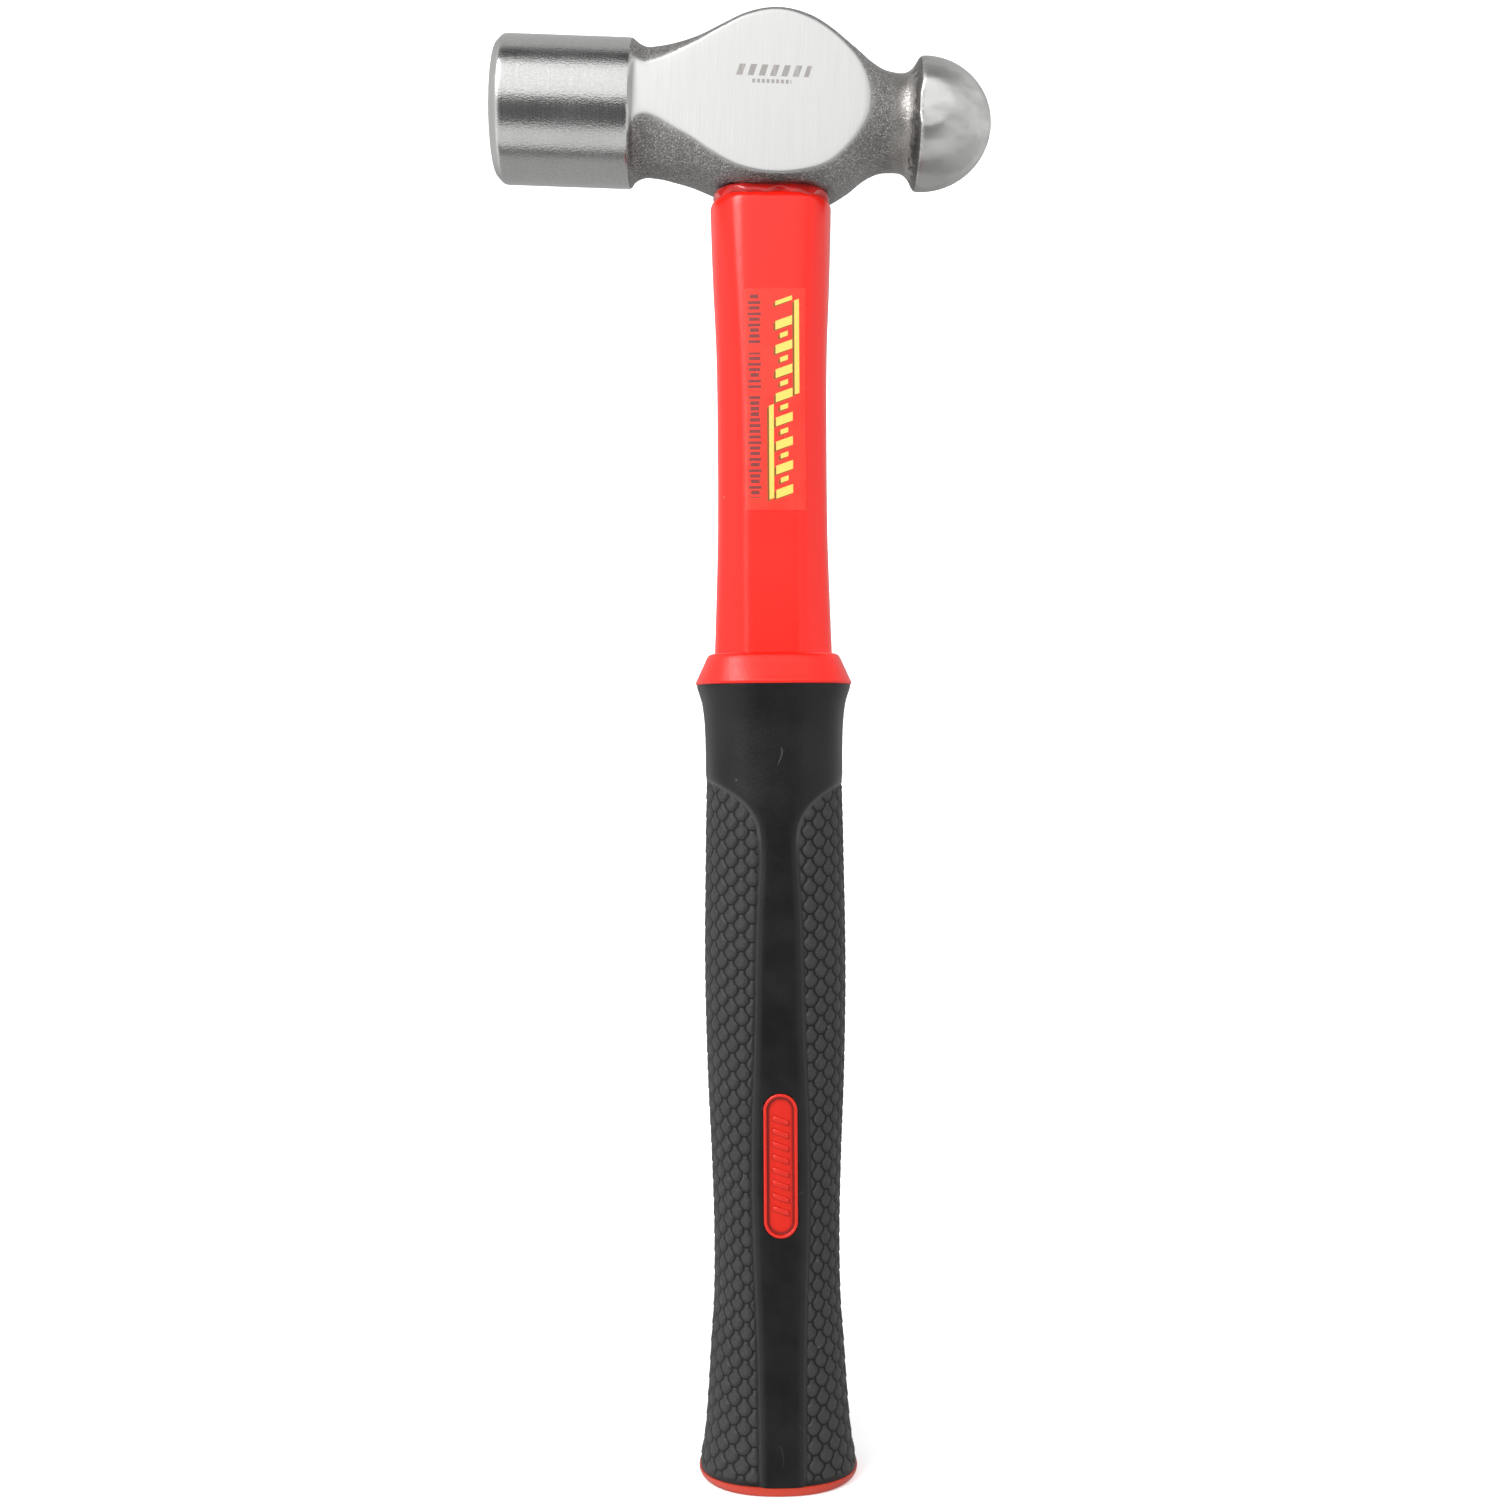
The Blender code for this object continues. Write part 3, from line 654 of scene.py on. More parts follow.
def grip_rubber():
    """Black rubber: grey bloom on the scales, painted shade in the grooves, painted highlights at
    the scales' lower ends and along the arch and the strip's edges, pale dust and a few hairs.
    """
    made, tree = material("grip_rubber", Specular_IOR_Level=0.3)
    here = place(tree)
    across, down, panel, ridge = (
        painted(tree, name) for name in ("across", "down", "panel", "ridge"))
    height, tip = scales(across, down)
    clouds = mottle(here, 110.0, 0.25)
    skin = mottle(here, 1600.0, 0.3)
    flow = lines(place(tree, (900, 900, 25)))
    dust = specks(here, 330.0, 0.12, 0.06)
    # A hair lies where a slow noise crosses its middle value, in a few places only.
    wander = node(tree, "TexNoise", {"Vector": here, "Scale": 55.0, "Detail": 1.0}).outputs[0]
    hair = mul(spread(magnitude(sub(wander, 0.5)), 0.0016, 0.0005),
               spread(mottle(here, 75.0, 0.1), 0.9, 1.0))
    smooth = tint(clouds, (0.0055, 0.0055, 0.0058), (0.009, 0.009, 0.0093))
    # Scale tops: grey bloom with a fine skin, and a painted highlight growing towards each scale's
    # lower end.
    crest = coats((0.019, 0.019, 0.0195), (skin, 1, (0.032, 0.032, 0.0325)),
                  (tip, 0.5, (0.04, 0.04, 0.04)))
    # Painted shade: the grooves between scales are darker than the scales.
    cells = tint(spread(height, 0.0, 0.3), (0.0025, 0.0025, 0.0025), crest)
    colour = coats(tint(panel, smooth, cells), (larger(dust, hair), 0.35, (0.13, 0.13, 0.13)),
                   # Painted highlight: a light line along the bead of the arch and along the smooth
                   # strip's edges.
                   (ridge, 0.5, (0.09, 0.09, 0.09)))
    fine = bump(flow, 0.03 * MM, 0.2, bump(skin, 0.06 * MM, 0.35))
    return finish(made, Base_Color=colour,
                  Roughness=add(level(panel, 0.35, 0.5), mul(clouds, 0.08)),
                  Normal=bump(mul(height, panel), 0.22 * MM, 0.8, fine))


# ---- head ----

def head_profile():
    """Rows of x, rise, fall, half width and squareness from the face to the ball's tip:
    crown, chamfer, cylinder, squared fillet, forged body, cubed fillet, ellipse."""
    def round_rows(x, radius):
        return np.stack([x, radius, radius, radius, np.full(len(x), 2.0)], -1)

    stations = np.array(BODY_SHAPE) * (MM, MM, MM, MM, 1)
    x = np.linspace(stations[0, 0], stations[-1, 0], 168)
    body = np.column_stack([x, through(stations, x)])
    rim = FACE_RADIUS - FACE_CHAMFER
    r = np.linspace(0.3 * MM, rim, 16)
    crown = round_rows(-FACE_REACH - FACE_CROWN * (1 - (r / rim) ** 2), r)
    t = np.linspace(0, 1, 9)[1:]
    chamfer = round_rows(-FACE_REACH + FACE_CHAMFER * t, rim + FACE_CHAMFER * t)
    x = np.linspace(-FACE_REACH + FACE_CHAMFER, -POLL_BACK, 46)[1:]
    poll = round_rows(x, np.full(len(x), FACE_RADIUS))
    t = np.linspace(0, 1, 15)[1:-1, None]
    neck = poll[-1:] + (body[:1] - poll[-1:]) * np.concatenate([t, *[1 - (1 - t) ** 2] * 3, t], 1)
    t = np.linspace(0, 1, 17)[1:]
    edge = PEEN_RADIUS * math.sqrt(1 - ((PEEN_CENTRE - PEEN_RIM) / PEEN_LENGTH) ** 2)
    flare = round_rows(PEEN_RIM - PEEN_FILLET * (1 - t), PEEN_NECK + (edge - PEEN_NECK) * t ** 3)
    turn = np.linspace(math.asin((PEEN_RIM - PEEN_CENTRE) / PEEN_LENGTH), math.radians(89), 46)[1:]
    ball = round_rows(PEEN_CENTRE + PEEN_LENGTH * np.sin(turn), PEEN_RADIUS * np.cos(turn))
    return soften(np.concatenate([crown, chamfer, poll, neck, body, flare, ball]))


def head_surface():
    """Superellipse rings along the axis, taller above than below and squarer on the upper
    flanks; the sides stop softly at the cheek planes, which run out against the poll in a
    small fillet."""
    rows = head_profile()
    x, rise, fall, half, power = (rows[:, k:k + 1] for k in range(5))
    turn = angles(RING_POINTS)
    flank = np.exp(-((x + 18 * MM) / (9.5 * MM)) ** 2) + np.exp(-((x - 18 * MM) / (6.5 * MM)) ** 2)
    flank = flank * step(-POLL_BACK, -30 * MM, x) * (1 - step(26 * MM, 31 * MM, x))
    rise, above = rise * (1 - 0.10 * flank), 0.85 * flank
    below = -0.35 * (1 - step(-29 * MM, -21 * MM, x)) * step(-POLL_BACK, -POLL_BACK + 1.0 * MM, x)
    y, z = superellipse(half, 1.0, power + np.where(np.sin(turn) > 0, above, below), turn)
    z = z * np.where(z > 0, rise, fall)
    t = np.clip((x + POLL_BACK) / CHEEK_FILLET, 0, 1)
    limit = CHEEK + (FACE_RADIUS - CHEEK + 0.2 * MM) * (1 - t) ** 2
    limit = np.where(x < -POLL_BACK, 1.0, limit)
    over = np.abs(y)
    cut = (over + limit - np.sqrt((over - limit) ** 2 + CHEEK_EDGE ** 2)) / 2
    y = np.sign(y) * np.where(limit > 0.5, over, cut)
    c, s = math.cos(HEAD_DROOP), math.sin(HEAD_DROOP)
    rings = stack(x * c + z * s, y, HEAD_AXIS_HEIGHT - x * s + z * c)
    sunk = (np.abs(rings[..., 0]) < SEAT_REACH) & (rings[..., 2] < EYE_SEAT)
    rings[..., 2] = np.where(sunk, EYE_SEAT, rings[..., 2])
    return shell(rings)


def eye_rings(heights, shrink):
    """Superellipses of the tapered eye at heights, or of a piece a little smaller than it."""
    heights = np.array(heights)[:, None]
    grown = EYE_TAPER * (heights - EYE_SEAT) / (EYE_TOP - EYE_SEAT)
    half_sizes = ((size + grown) / 2 - shrink for size in EYE_BOTTOM_SIZE)
    return stack(*superellipse(*half_sizes, EYE_SQUARENESS, angles(EYE_POINTS)), heights)


def core_rings(heights, count, grow):
    """Superellipses round the rod at heights, grown from its section."""
    half_sizes = (size / 2 + grow for size in CORE_SIZE)
    return stack(*superellipse(*half_sizes, EYE_SQUARENESS, angles(count)),
                 np.array(heights)[:, None])


def make_head():
    """Forging with its eye cut through, and its steels laid on by region."""
    steels = (turned_steel(), forged_steel(), ball_steel())
    head = make("hammer_head_steel", head_surface(), None)
    eye = make("eye_cutter", shell(eye_rings((EYE_SEAT - 20 * MM, EYE_TOP + 20 * MM), 0.0)), None)
    boolean = head.modifiers.new("eye", "BOOLEAN")
    boolean.object, boolean.operation, boolean.solver = eye, "DIFFERENCE", "EXACT"
    graph = bpy.context.evaluated_depsgraph_get()
    mesh = bpy.data.meshes.new_from_object(head.evaluated_get(graph))
    head.modifiers.clear()
    head.data = mesh
    bpy.data.objects.remove(eye, do_unlink=True)
    mesh.materials.clear()
    for steel in steels:
        mesh.materials.append(steel)
    centres = np.empty(len(mesh.polygons) * 3, np.float32)
    mesh.polygons.foreach_get("center", centres)
    centres = centres.reshape(-1, 3)
    along = (centres[:, 0] * math.cos(HEAD_DROOP)
             - (centres[:, 2] - HEAD_AXIS_HEIGHT) * math.sin(HEAD_DROOP))
    region = np.where(along < -POLL_BACK, 0, np.where(along > PEEN_RIM, 2, 1)).astype(np.int32)
    mesh.polygons.foreach_set("material_index", region)
    mesh.shade_smooth()
    mesh.set_sharp_from_angle(angle=math.radians(40))
    belongs(head, "hammer_head")


def make_eye_resin():
    """Resin round the rod: its top sinks into a meniscus, a half sine between eye and rod."""
    top = EYE_TOP - 0.1 * MM
    wall = eye_rings(np.linspace(EYE_SEAT, top, 6), 0.02 * MM)
    inner, low = core_rings((top, EYE_SEAT), EYE_POINTS, 0.05 * MM)
    t = np.linspace(0, 1, 9)[1:, None, None]
    meniscus = wall[-1] + (inner - wall[-1]) * t
    dip = 0.35 * MM * (1 + 0.5 * np.sin(3 * angles(EYE_POINTS) + 0.7))
    meniscus[..., 2] -= dip * np.sin(math.pi * t[..., 0])
    surface = shell(np.concatenate([wall, meniscus, low[None]]), bore=True)
    piece = make("eye_resin", surface, resin("eye_resin", (0.10, 0.02, 0.015), 0.15, 0.4))
    belongs(piece, "eye_epoxy")


# ---- shaft ----

def jacket_shape(height):
    """Rows of width, depth, front flat, side flat and crispness of the jacket at heights."""
    shares = (np.atleast_1d(height) - JACKET_BOTTOM) / (JACKET_TOP - JACKET_BOTTOM)
    return through(JACKET_SHAPE, np.clip(shares, 0, 1)) * (MM, MM, MM, MM, 1)


def make_jacket(red):
    """Softly faceted rings up the shaft, a quarter-round shoulder, and the rod's bore."""
    shoulder = JACKET_TOP - JACKET_SHOULDER
    turn = angles(RING_POINTS)
    heights = np.linspace(JACKET_BOTTOM, shoulder, 110)
    side = stack(*facets(jacket_shape(heights), 0.0, turn), heights[:, None])
    curve = np.linspace(0, math.pi / 2, 12)[1:, None]
    shape = np.repeat(jacket_shape(shoulder), len(curve), 0)
    top = stack(*facets(shape, -JACKET_SHOULDER * (1 - np.cos(curve)), turn),
                shoulder + JACKET_SHOULDER * np.sin(curve))
    bore = core_rings((JACKET_TOP, JACKET_BOTTOM), RING_POINTS, GAP)
    piece = make("shaft_jacket_moulding", shell(np.concatenate([side, top, bore]), bore=True), red)
    piece.visible_glossy = False    # its red hardly shows in the dull forging above it
    belongs(piece, "shaft_jacket")


def make_bead():
    """Resin squeezed out under the head. Its skin is a parabola from the seat down to the
    jacket's shoulder; how far down it runs wanders round the shaft as a sum of sines."""
    turn = angles(RING_POINTS)
    shoulder = JACKET_TOP - JACKET_SHOULDER
    shape = jacket_shape(shoulder)
    corner = (np.degrees(turn) - 313) / 9
    run = 40 + 7 * np.sin(3 * turn + 0.6) + 8 * np.sin(7 * turn + 2.1) + 5 * np.sin(13 * turn + 4.0)
    run = run + 30 * np.exp(-corner ** 2)
    beta = np.radians(90 - np.clip(run, 24, 84))
    end_in = JACKET_SHOULDER * (1 - np.cos(beta)) - 0.06 * MM
    end_up = shoulder + JACKET_SHOULDER * np.sin(beta) + 0.03 * MM
    start_in, start_up = 0.9 * MM, EYE_SEAT + 0.3 * MM
    t = np.linspace(0, 1, 12)[:, None]
    knee_in, knee_up = 0.35 * MM + 0.25 * MM * np.sin(4 * turn), (start_up + end_up) / 2
    inset = start_in * (1 - t) ** 2 + 2 * knee_in * t * (1 - t) + end_in * t ** 2
    up = start_up * (1 - t) ** 2 + 2 * knee_up * t * (1 - t) + end_up * t ** 2
    skin = stack(*facets(np.repeat(shape, len(t), 0), -inset, turn), up)
    tuck = stack(*facets(shape, -(end_in + 0.35 * MM), turn), end_up - 0.15 * MM)
    back, lift = (stack(*facets(shape, -3.2 * MM, turn), height)
                  for height in (JACKET_TOP + 0.05 * MM, start_up))
    rings = np.concatenate([skin, tuck, back, lift])[::-1]
    red = resin("bead_resin", (0.62, 0.007, 0.004), 0.14, 0.6)
    piece = make("resin_bead", shell(rings, bore=True), red, sharp=60)
    belongs(piece, "epoxy_bead")


def make_label():
    """Film wrapped on the jacket's front: the facet contour grown by the film's thickness,
    between two angles, closed behind."""
    count, thick = 60, 0.14 * MM
    heights = np.linspace(LABEL_BOTTOM, LABEL_TOP, 40)
    shape = jacket_shape(heights)
    low, high = (np.arctan2(-shape[:, 1:2] / 2, LABEL_SHIFT + side * LABEL_WIDTH / 2)
                 for side in (-1, 1))
    turn = low + (high - low) * np.linspace(0, 1, count)[None, :]
    front = stack(*facets(shape, thick, turn), heights[:, None])
    back = stack(*facets(shape, -0.1 * MM, turn), heights[:, None])
    rings = np.concatenate([front, back[:, ::-1]], 1)
    piece = make("shaft_label_film", shell(rings), label_film())
    belongs(piece, "shaft_label")


# ---- grip ----

def rubber_size(height):
    """Half width and half depth of the rubber at heights, as columns."""
    shares = (np.atleast_1d(height) - RUBBER_BOTTOM) / (RUBBER_TOP - RUBBER_BOTTOM)
    sizes = through(RUBBER_SHAPE, np.clip(shares, 0, 1)) * MM / 2
    return sizes[:, 0:1], sizes[:, 1:2]


def rubber_depth(x, height):
    """How far out the smooth rubber is at x and height, from its superellipse."""
    half_w, half_d = rubber_size(np.ravel(height))
    shape = np.shape(height)
    share = np.abs(x) / half_w.reshape(shape)
    return half_d.reshape(shape) * (1 - share ** GRIP_SQUARENESS) ** (1 / GRIP_SQUARENESS)


def scale_relief(across, down):
    """Height of the snake-skin scales, 0 to 1. Between neighbouring columns runs a groove
    that swings by a skewed cosine, so that scales are narrow above and round below; each
    scale is a pillow that tips up towards its lower end."""
    first = np.mod(down, 1) < 0.5
    t = np.mod(-2 * down, 1)
    a = np.abs(np.mod(across + np.where(first, 1, 2), 2) - 1)
    side = a - (0.5 + SCALE_SWING * np.cos(math.pi * t ** SCALE_SKEW))
    end = np.where(side < 0, 1 - t, t) * SCALE_LENGTH / 2 - SCALE_GROOVE
    away = np.minimum(np.abs(side) * SCALE_SLANT * SCALE_PITCH - SCALE_GROOVE, end)
    pillow = 1 - (1 - np.clip(away / SCALE_ROUND, 0, 1)) ** 2
    return pillow * (0.85 + 0.3 * np.where(side < 0, t, t - 1))


def sleeve_outline(grow, turn):
    """Superellipse of the hard sleeve's section, grown a little."""
    return superellipse(*(size / 2 + grow for size in SLEEVE_SIZE), SLEEVE_SQUARENESS, turn)


def panel_border(height):
    """Half width of the smooth front strip: narrow below the collar, then flaring out so
    that the scale panels end in an arch."""
    z = height / MM
    waist = 5.4 + 1.4 * np.exp(-((z - 72) / 34) ** 2) - 0.9 * np.exp(-((z - ARCH) / 14) ** 2)
    flare = 11.4 * (np.clip(z - ARCH, 0, None) / 15) ** 2.9
    return (waist + flare) * MM


def make_rubber():
    """Rubber: superellipse rings with evenly spaced columns, sunk and scaled in the side panels,
    with a fine bead along the panels' arch and a pocket for each badge."""
    rows, cols = 385, 252
    fine = np.linspace(0, TURN, 4001)
    fx, fy = superellipse(16.3 * MM, 13.6 * MM, GRIP_SQUARENESS, fine)
    length = np.concatenate([[0], np.cumsum(np.hypot(np.diff(fx), np.diff(fy)))])
    run = np.arange(cols) * length[-1] / cols
    turn = np.interp(run, length, fine)[None, :]
    height = np.linspace(RUBBER_BOTTOM, COLLAR_BOTTOM - 0.03 * MM, rows)[:, None]
    half_w, half_d = rubber_size(height[:, 0])
    x, y = superellipse(half_w, half_d, GRIP_SQUARENESS, turn)
    z = np.broadcast_to(height, x.shape).copy()
    nx = np.sign(x) * np.abs(x / half_w) ** (GRIP_SQUARENESS - 1) / half_w
    ny = np.sign(y) * np.abs(y / half_d) ** (GRIP_SQUARENESS - 1) / half_d
    size = np.hypot(nx, ny)
    nx, ny = nx / size, ny / size
    side = np.where(y < 0, -1.0, 1.0)
    offset = np.abs(x + side * GRIP_SHIFT) - panel_border(height)
    slope = np.gradient(panel_border(height[:, 0]), height[:, 0])[:, None]
    offset = offset / np.sqrt(1 + slope ** 2)
    # Scales are laid out by distance round the grip from the middle of each side.
    half = length[-1] / 2
    reach = (run[None, :] + half / 2) % half - half / 2
    across = reach / (half / (round(half / SCALE_PITCH / 2) * 2))
    down = height / SCALE_LENGTH
    relief = scale_relief(across, down)
    ends = step(0.4 * MM, 1.6 * MM, height - RUBBER_BOTTOM)
    inside = step(0.15 * MM, 0.7 * MM, offset) * ends
    arch = step((ARCH - 3) * MM, (ARCH + 3) * MM, height)
    # The bead along the arch, and a thin line along the strip's border, also go to the material as
    # a painted highlight line.
    ridge = arch * np.exp(-((offset + 0.1 * MM) / (0.42 * MM)) ** 2)
    edge = (1 - arch) * ends * np.exp(-((offset + 0.15 * MM) / (0.34 * MM)) ** 2)
    # The smooth strip rounds over towards the panels and ends in a crisp edge.
    shoulder = np.clip(1 + offset / PANEL_SHOULDER, 0, 1) ** 2
    out = -PANEL_SINK * shoulder + SCALE_RELIEF * relief * inside + 0.32 * MM * ridge
    x, y = x + nx * out, y + ny * out
    # Badge pockets: points near the pill's outline move onto it, points inside go deep.
    px, pz = x + side * GRIP_SHIFT, z - BADGE_HEIGHT
    spine = np.clip(pz, -BADGE_STRAIGHT, BADGE_STRAIGHT)
    away = np.maximum(np.hypot(px, pz - spine), 1e-9)
    gap = away - BADGE_RADIUS - 0.12 * MM
    front = np.abs(y) > 8 * MM
    catch = 0.24 * MM
    near = front & (np.abs(gap) < catch)
    x = np.where(near, x - gap * px / away, x)
    z = np.where(near, z - gap * (pz - spine) / away, z)
    y = np.where(front & (gap < -catch), side * (SLEEVE_SIZE[1] / 2 + 0.2 * MM), y)
    bore = stack(*sleeve_outline(GAP, turn), np.array([height[-1, 0], RUBBER_BOTTOM])[:, None])
    rings = np.concatenate([stack(x, y, z), bore])
    values = {"across": across, "down": down, "panel": inside, "ridge": ridge + 0.4 * edge}
    for key, data in values.items():
        values[key] = np.concatenate([np.broadcast_to(data, x.shape), np.zeros((2, cols))])
    piece = make("rubber_grip_moulding", shell(rings, bore=True), grip_rubber(), values, sharp=75)
    belongs(piece, "rubber_grip")


def pill(radius, count):
    """Outline of an upright pill: half circles of a radius about the ends of its spine."""
    half = np.linspace(0, math.pi, count // 2)
    x, z = radius * np.cos(half), radius * np.sin(half) + BADGE_STRAIGHT
    return np.concatenate([x, -x]), np.concatenate([z, -z])


def make_badge(name, side, node_name, red):
    """Pill with a rounded rim and a sunken floor that carries leaning ribs. Every row is a
    pill outline at a distance from the rubber's own surface; side is -1 on the front."""
    count = 120
    rim = 0.75 * MM
    # Rows: inset from the outline and distance out from the rubber (mm), and the painted shade that
    # the row carries.
    rows = [(0.0, -2.6, 0), (0.0, -0.3, 0)]
    bend = np.linspace(0, math.pi, 11)
    width, proud, floor = rim / MM, BADGE_PROUD / MM, (BADGE_PROUD - BADGE_RECESS) / MM
    rows += [(width / 2 * (1 - math.cos(a)), 0.3 * math.sin(a) + proud - 0.3, 0) for a in bend]
    rows += [(width + 0.05, proud - 0.4, 0.7), (width + 0.12, floor + 0.1, 1),
             (width + 0.4, floor, 1), (width + 0.8, floor, 0.1), (2.4, floor, 0), (3.7, floor, 0)]

    def on_grip(x, z, out):
        """Points at x and z from the badge's middle, at a distance from the rubber."""
        depth = rubber_depth(x, BADGE_HEIGHT + z) + out
        return stack(x - side * GRIP_SHIFT, side * depth, BADGE_HEIGHT + z)

    def closed(rings):
        return shell(np.array(rings)[:, ::-side])

    parts = [closed([on_grip(*pill(BADGE_RADIUS - inset * MM, count), out * MM)
                     for inset, out, _ in rows])]
    # Painted shade: the rim's inner wall and the floor's edge are darkened.
    shade = [np.repeat([row[2] for row in rows], count), (0, 0)]
    # Ribs on the floor: leaning blocks with bevelled tops, their feet darkened as painted shade.
    for middle in np.linspace(-10.5, 10.5, 8) * MM:
        block = []
        for grow, out in ((0.0, -0.1), (0.0, 0.34), (-0.16, 0.5)):
            a, b = (half * MM + grow * MM for half in (1.9, 0.62))
            cx, cz = np.array([-a, a, a, -a]), np.array([-b, -b, b, b])
            z = middle + cz - 0.35 * cx
            block.append(on_grip(cx, z, BADGE_PROUD - BADGE_RECESS + out * MM))
        parts.append(closed(block))
        shade += [np.repeat((1.0, 0.15, 0.0), 4), (0, 0)]
    piece = make(name, join(*parts), red, {"crease_shade": np.concatenate(shade)}, sharp=50)
    belongs(piece, node_name)


def make_collar(red):
    """Flared ring: rows of superellipses down a straight flank with rounded edges, and the
    jacket's contour as its bore."""
    turn = angles(RING_POINTS)
    profile = np.array([  # height above the foot, width, depth, squareness (mm)
        (0.0, 36.5, 30.7, 2.4), (0.1, 36.85, 30.95, 2.4), (0.5, 36.9, 31.0, 2.5),
        (0.9, 36.75, 30.85, 2.5), (1.6, 36.0, 30.1, 2.6), (3.2, 34.5, 28.6, 2.8),
        (4.8, 33.0, 27.1, 3.0), (5.9, 32.0, 26.2, 3.1), (6.6, 31.3, 25.5, 3.1),
        (7.0, 30.5, 24.8, 3.1), (7.2, 29.4, 23.8, 3.1),
    ])
    heights = np.linspace(0, 7.2, 49)
    rows = through(profile, heights)
    x, y = superellipse(rows[:, 0:1] * MM / 2, rows[:, 1:2] * MM / 2, rows[:, 2:3], turn)
    outside = stack(x, y, COLLAR_BOTTOM + heights[:, None] * MM)
    inner_heights = np.array([COLLAR_TOP, COLLAR_BOTTOM])
    bore = stack(*facets(jacket_shape(inner_heights), 0.06 * MM, turn), inner_heights[:, None])
    piece = make("grip_collar_moulding", shell(np.concatenate([outside, bore]), bore=True), red)
    belongs(piece, "grip_collar")


def make_butt(red):
    """Butt cap: flat base, quarter-round lip, and the plug that goes up the rubber's bore."""
    turn = angles(216)[0]
    lip = RUBBER_BOTTOM - 0.16 * MM
    base, full = np.array([33.8, 31.2]) * MM / 2, np.array([37.4, 32.0]) * MM / 2
    rows = [(base * share, 0.0) for share in (0.2, 0.6, 0.9, 0.97)]
    for a in np.linspace(0, math.pi / 2, 14):
        rows.append((base + (full - base) * math.sin(a), lip * (1 - math.cos(a))))
    rows += [(full - 0.15 * MM, lip + 0.1 * MM), (full - 0.6 * MM, lip + 0.14 * MM)]
    rings = [stack(*superellipse(*size, GRIP_SQUARENESS, turn), height) for size, height in rows]
    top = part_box("butt_cap")[1].z
    for height, grow in ((lip + 0.14 * MM, 0.0), (top - 0.5 * MM, 0.0), (top, -0.5 * MM)):
        rings.append(stack(*sleeve_outline(grow, turn), height))
    piece = make("butt_cap_moulding", shell(np.array(rings)), red)
    belongs(piece, "butt_cap")


# ---- stage ----

# Brightness of the studio round the hammer, by the angle up from the viewer's side:
# white walls with dark gaps between them. Angle in degrees, brightness from there on.
STUDIO_BANDS = (
    (-180, 0.5), (-89, 0.1), (-77, 0.95), (-40, 0.75), (3, 1.36), (61, 0.04), (88, 0.6), (168, 0.5),
)
BAND_BLUR = 3.0
WHITE = (1, 1, 1, 1)

KEY_PLACE, KEY_TARGET = (-0.1, -1.0, 0.7), (0, 0, 0.2)
KEY_SIZE, KEY_POWER = 0.8, 3.0

CAMERA_PLACE = (-0.0057, -0.430, 0.1713)
CAMERA_ROLL = math.radians(0.35)
CAMERA_LENS, CAMERA_SENSOR = 43.36, 36.0


def make_studio():
    """World light: bands by angle in the plane across the head, fading to soft side walls."""
    world = bpy.data.worlds.new("studio")
    bpy.context.scene.world = world
    world.use_nodes = True
    tree = world.node_tree
    x, y, z = axes(node(tree, "TexCoord").outputs["Generated"])
    # Degrees from the viewer's side: up, and round to the left.
    up, left = (mul(calc("ARCTAN2", part, mul(y, -1.0)), math.degrees(sign))
                for part, sign in ((z, 1), (x, -1)))
    light = STUDIO_BANDS[0][1]
    for (start, value), (_, before) in zip(STUDIO_BANDS[1:], STUDIO_BANDS):
        light = add(light, spread(up, start - BAND_BLUR, start + BAND_BLUR, 0.0, value - before))
    # Side walls that change in brightness low down, and one soft box up on the left in front.
    for side, low, high in ((-1, 1.3, 1.05), (1, 0.8, 0.95)):
        wall = spread(x, side * 0.4, side * 0.75)
        light = level(wall, light, spread(z, -0.45, -0.1, low, high))
    box = mul(mul(spread(left, 24.0, 32.0), spread(left, 54.0, 46.0)),
              mul(spread(z, 0.18, 0.34), spread(z, 0.85, 0.75)))
    light = add(light, mul(box, 9.0))
    seen = node(tree, "LightPath").outputs["Is Camera Ray"]
    background = tree.nodes["Background"].inputs
    put(background["Color"], WHITE)
    put(background["Strength"], level(seen, light, 1.0))


def make_flag():
    """Dark card in front of the hammer, seen only in its reflections."""
    x, z = np.array([-0.45, 0.45, 0.45, -0.45]), np.array([-0.435, -0.435, 0.367, 0.367])
    paint, tree = material(
        "dark_card", Roughness=0.9, Specular_IOR_Level=0.0, Base_Color=(0, 0, 0, 1),
        Emission_Strength=0.13)
    tone = mottle(place(tree), 4.0, 0.5)
    finish(paint, Emission_Color=tint(tone, (1, 1, 1), (0.9, 0.9, 0.9)))
    card = make("dark_card", (stack(x, -0.9, z), np.array([[0, 1, 2, 3]]), NO_TRIANGLES), paint)
    for ray in ("camera", "diffuse", "shadow", "transmission"):
        setattr(card, "visible_" + ray, False)


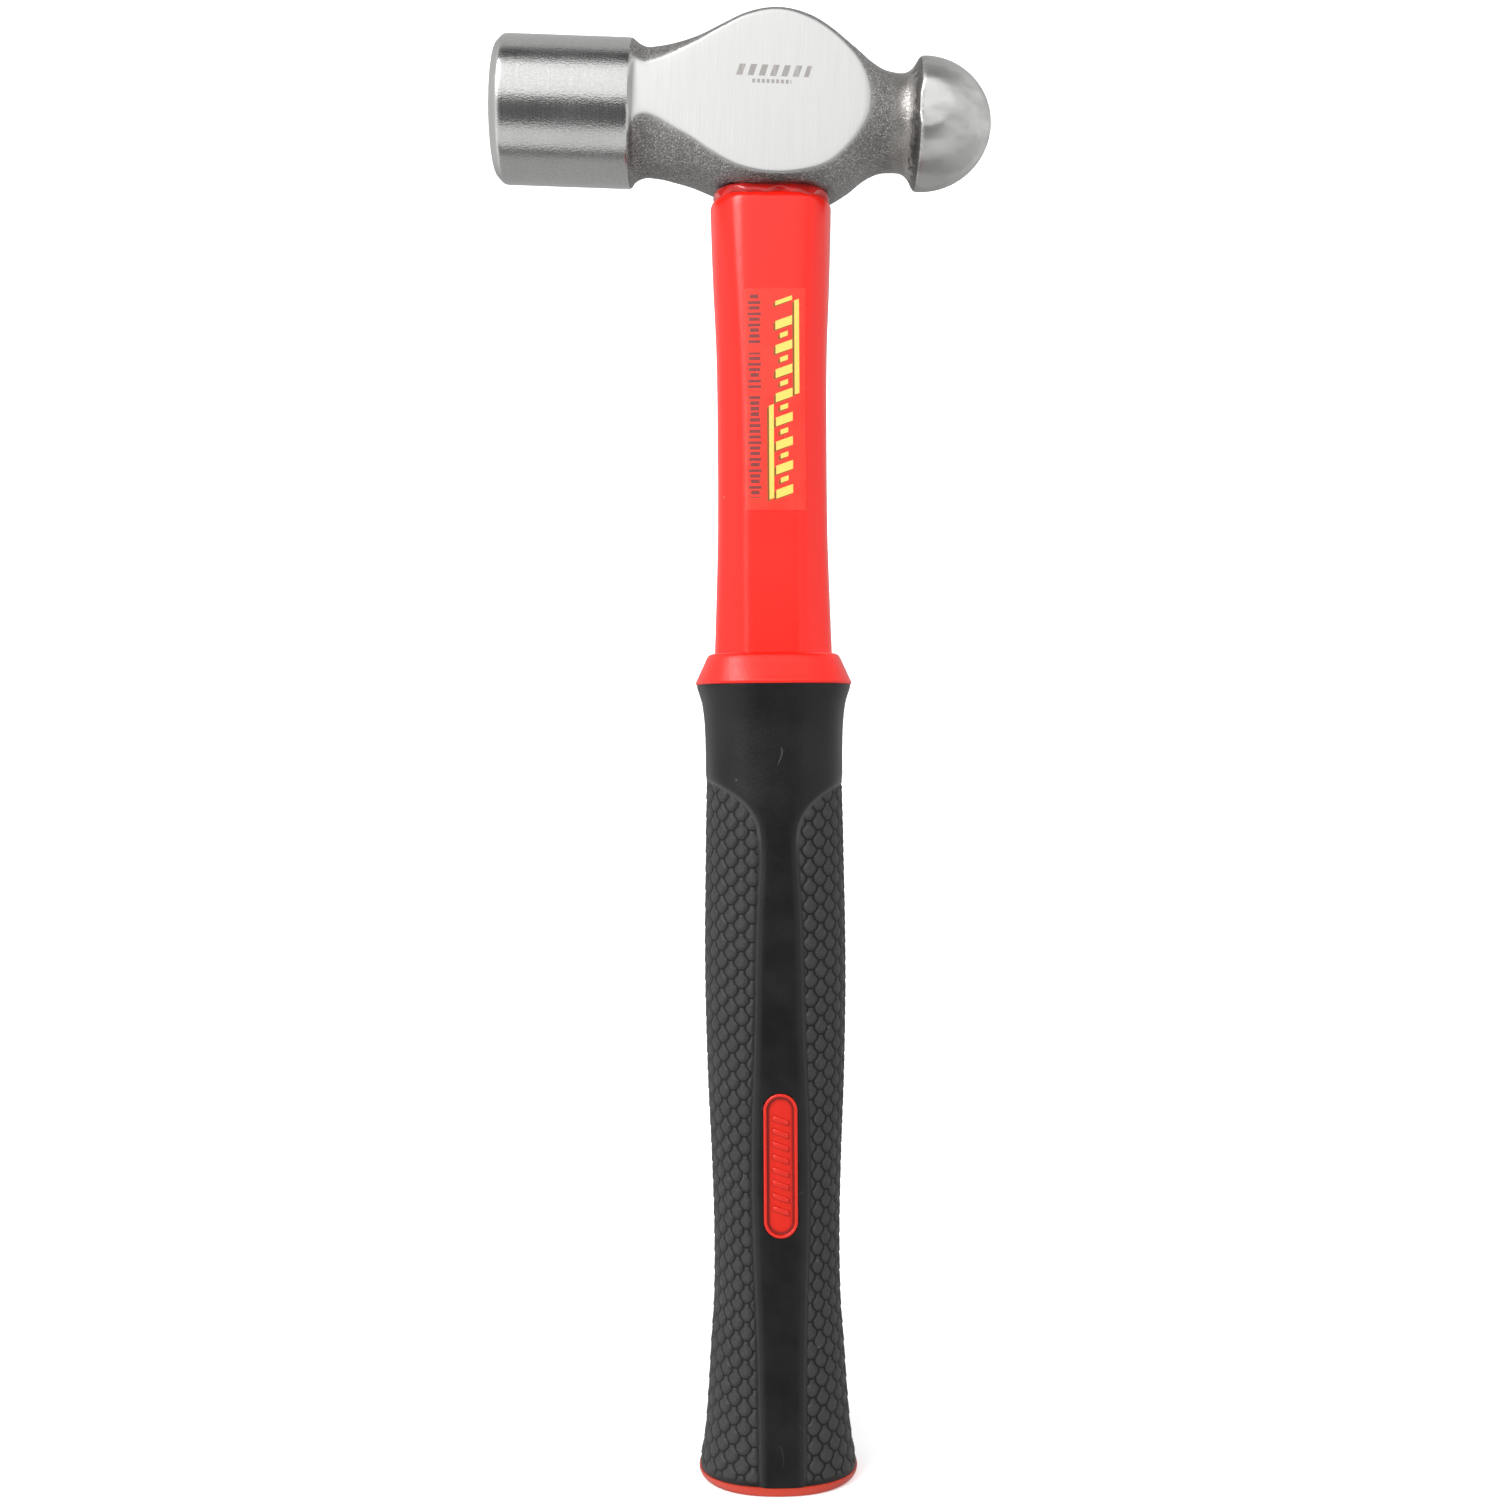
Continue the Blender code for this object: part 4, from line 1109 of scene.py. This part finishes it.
def make_floor():
    """Pale sweep: flat under the hammer, rising in a quarter circle far behind it."""
    width, radius, back, top, drop = 6.0, 1.2, 1.6, 3.5, 0.2 * MM
    flat = np.linspace(-1.5, back, 6)
    curve = np.linspace(0, math.pi / 2, 24)[1:]
    y = np.concatenate([flat, back + radius * np.sin(curve), [back + radius]])
    z = np.concatenate([flat * 0, radius * (1 - np.cos(curve)), [top]])
    x = np.linspace(-width / 2, width / 2, 3)
    points = stack(x[None, :], y[:, None], z[:, None] - drop).reshape(-1, 3)
    r, c = np.arange(len(y) - 1)[:, None], np.arange(len(x) - 1)[None, :]
    paint, tree = material(
        "pale_floor", Roughness=0.9, Specular_IOR_Level=0.1, Emission_Color=WHITE,
        Emission_Strength=0.35)
    tone = mottle(place(tree), 3.0, 0.4)
    finish(paint, Base_Color=tint(tone, (0.9, 0.9, 0.9), (0.92, 0.92, 0.92)))
    floor = make("floor", (points, weave(r, r + 1, c, c + 1, len(x)), NO_TRIANGLES), paint)
    floor.visible_glossy = floor.visible_diffuse = False


def make_key_light():
    """Soft round lamp up in front, aimed at the grip, that leaves no glint of its own."""
    lamp = bpy.data.lights.new("key", "AREA")
    lamp.shape, lamp.size, lamp.energy = "DISK", KEY_SIZE, KEY_POWER
    key = add_to_scene("key", lamp)
    key.location = KEY_PLACE
    x, y, z = np.array(KEY_TARGET) - KEY_PLACE
    key.rotation_euler = (math.atan2(math.hypot(x, y), -z), 0, math.atan2(x, -y) + math.pi)
    key.visible_glossy = False


def make_camera():
    view = bpy.data.cameras.new("camera")
    view.sensor_width, view.lens = CAMERA_SENSOR, CAMERA_LENS
    camera = add_to_scene("camera", view)
    camera.location = CAMERA_PLACE
    camera.rotation_euler = (math.pi / 2, CAMERA_ROLL, 0)
    bpy.context.scene.camera = camera


# ---- the hammer ----

jacket_red = red_plastic("jacket_red", (0.88, 0.008, 0.001), 0.23)
collar_red = red_plastic("collar_red", (0.84, 0.008, 0.001), 0.34, ripple=0.6)
badge_red = red_plastic("badge_red", (0.60, 0.012, 0.003), 0.32, shaded_creases=True)
butt_red = red_plastic("butt_red", (0.46, 0.036, 0.016), 0.38, ripple=0.6)

make_head()
make_eye_resin()
make_jacket(jacket_red)
make_bead()
make_label()
make_collar(collar_red)
make_rubber()
make_badge("badge_front_moulding", -1, "badge_front", badge_red)
make_badge("badge_back_moulding", 1, "badge_back", badge_red)
make_butt(butt_red)

for name, paint in (("fibreglass_core", fibreglass()), ("grip_sleeve", jacket_red)):
    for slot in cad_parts[name].material_slots:
        slot.material = paint

make_studio()
make_flag()
make_floor()
make_key_light()
make_camera()
bpy.context.scene.view_settings.view_transform = "Standard"
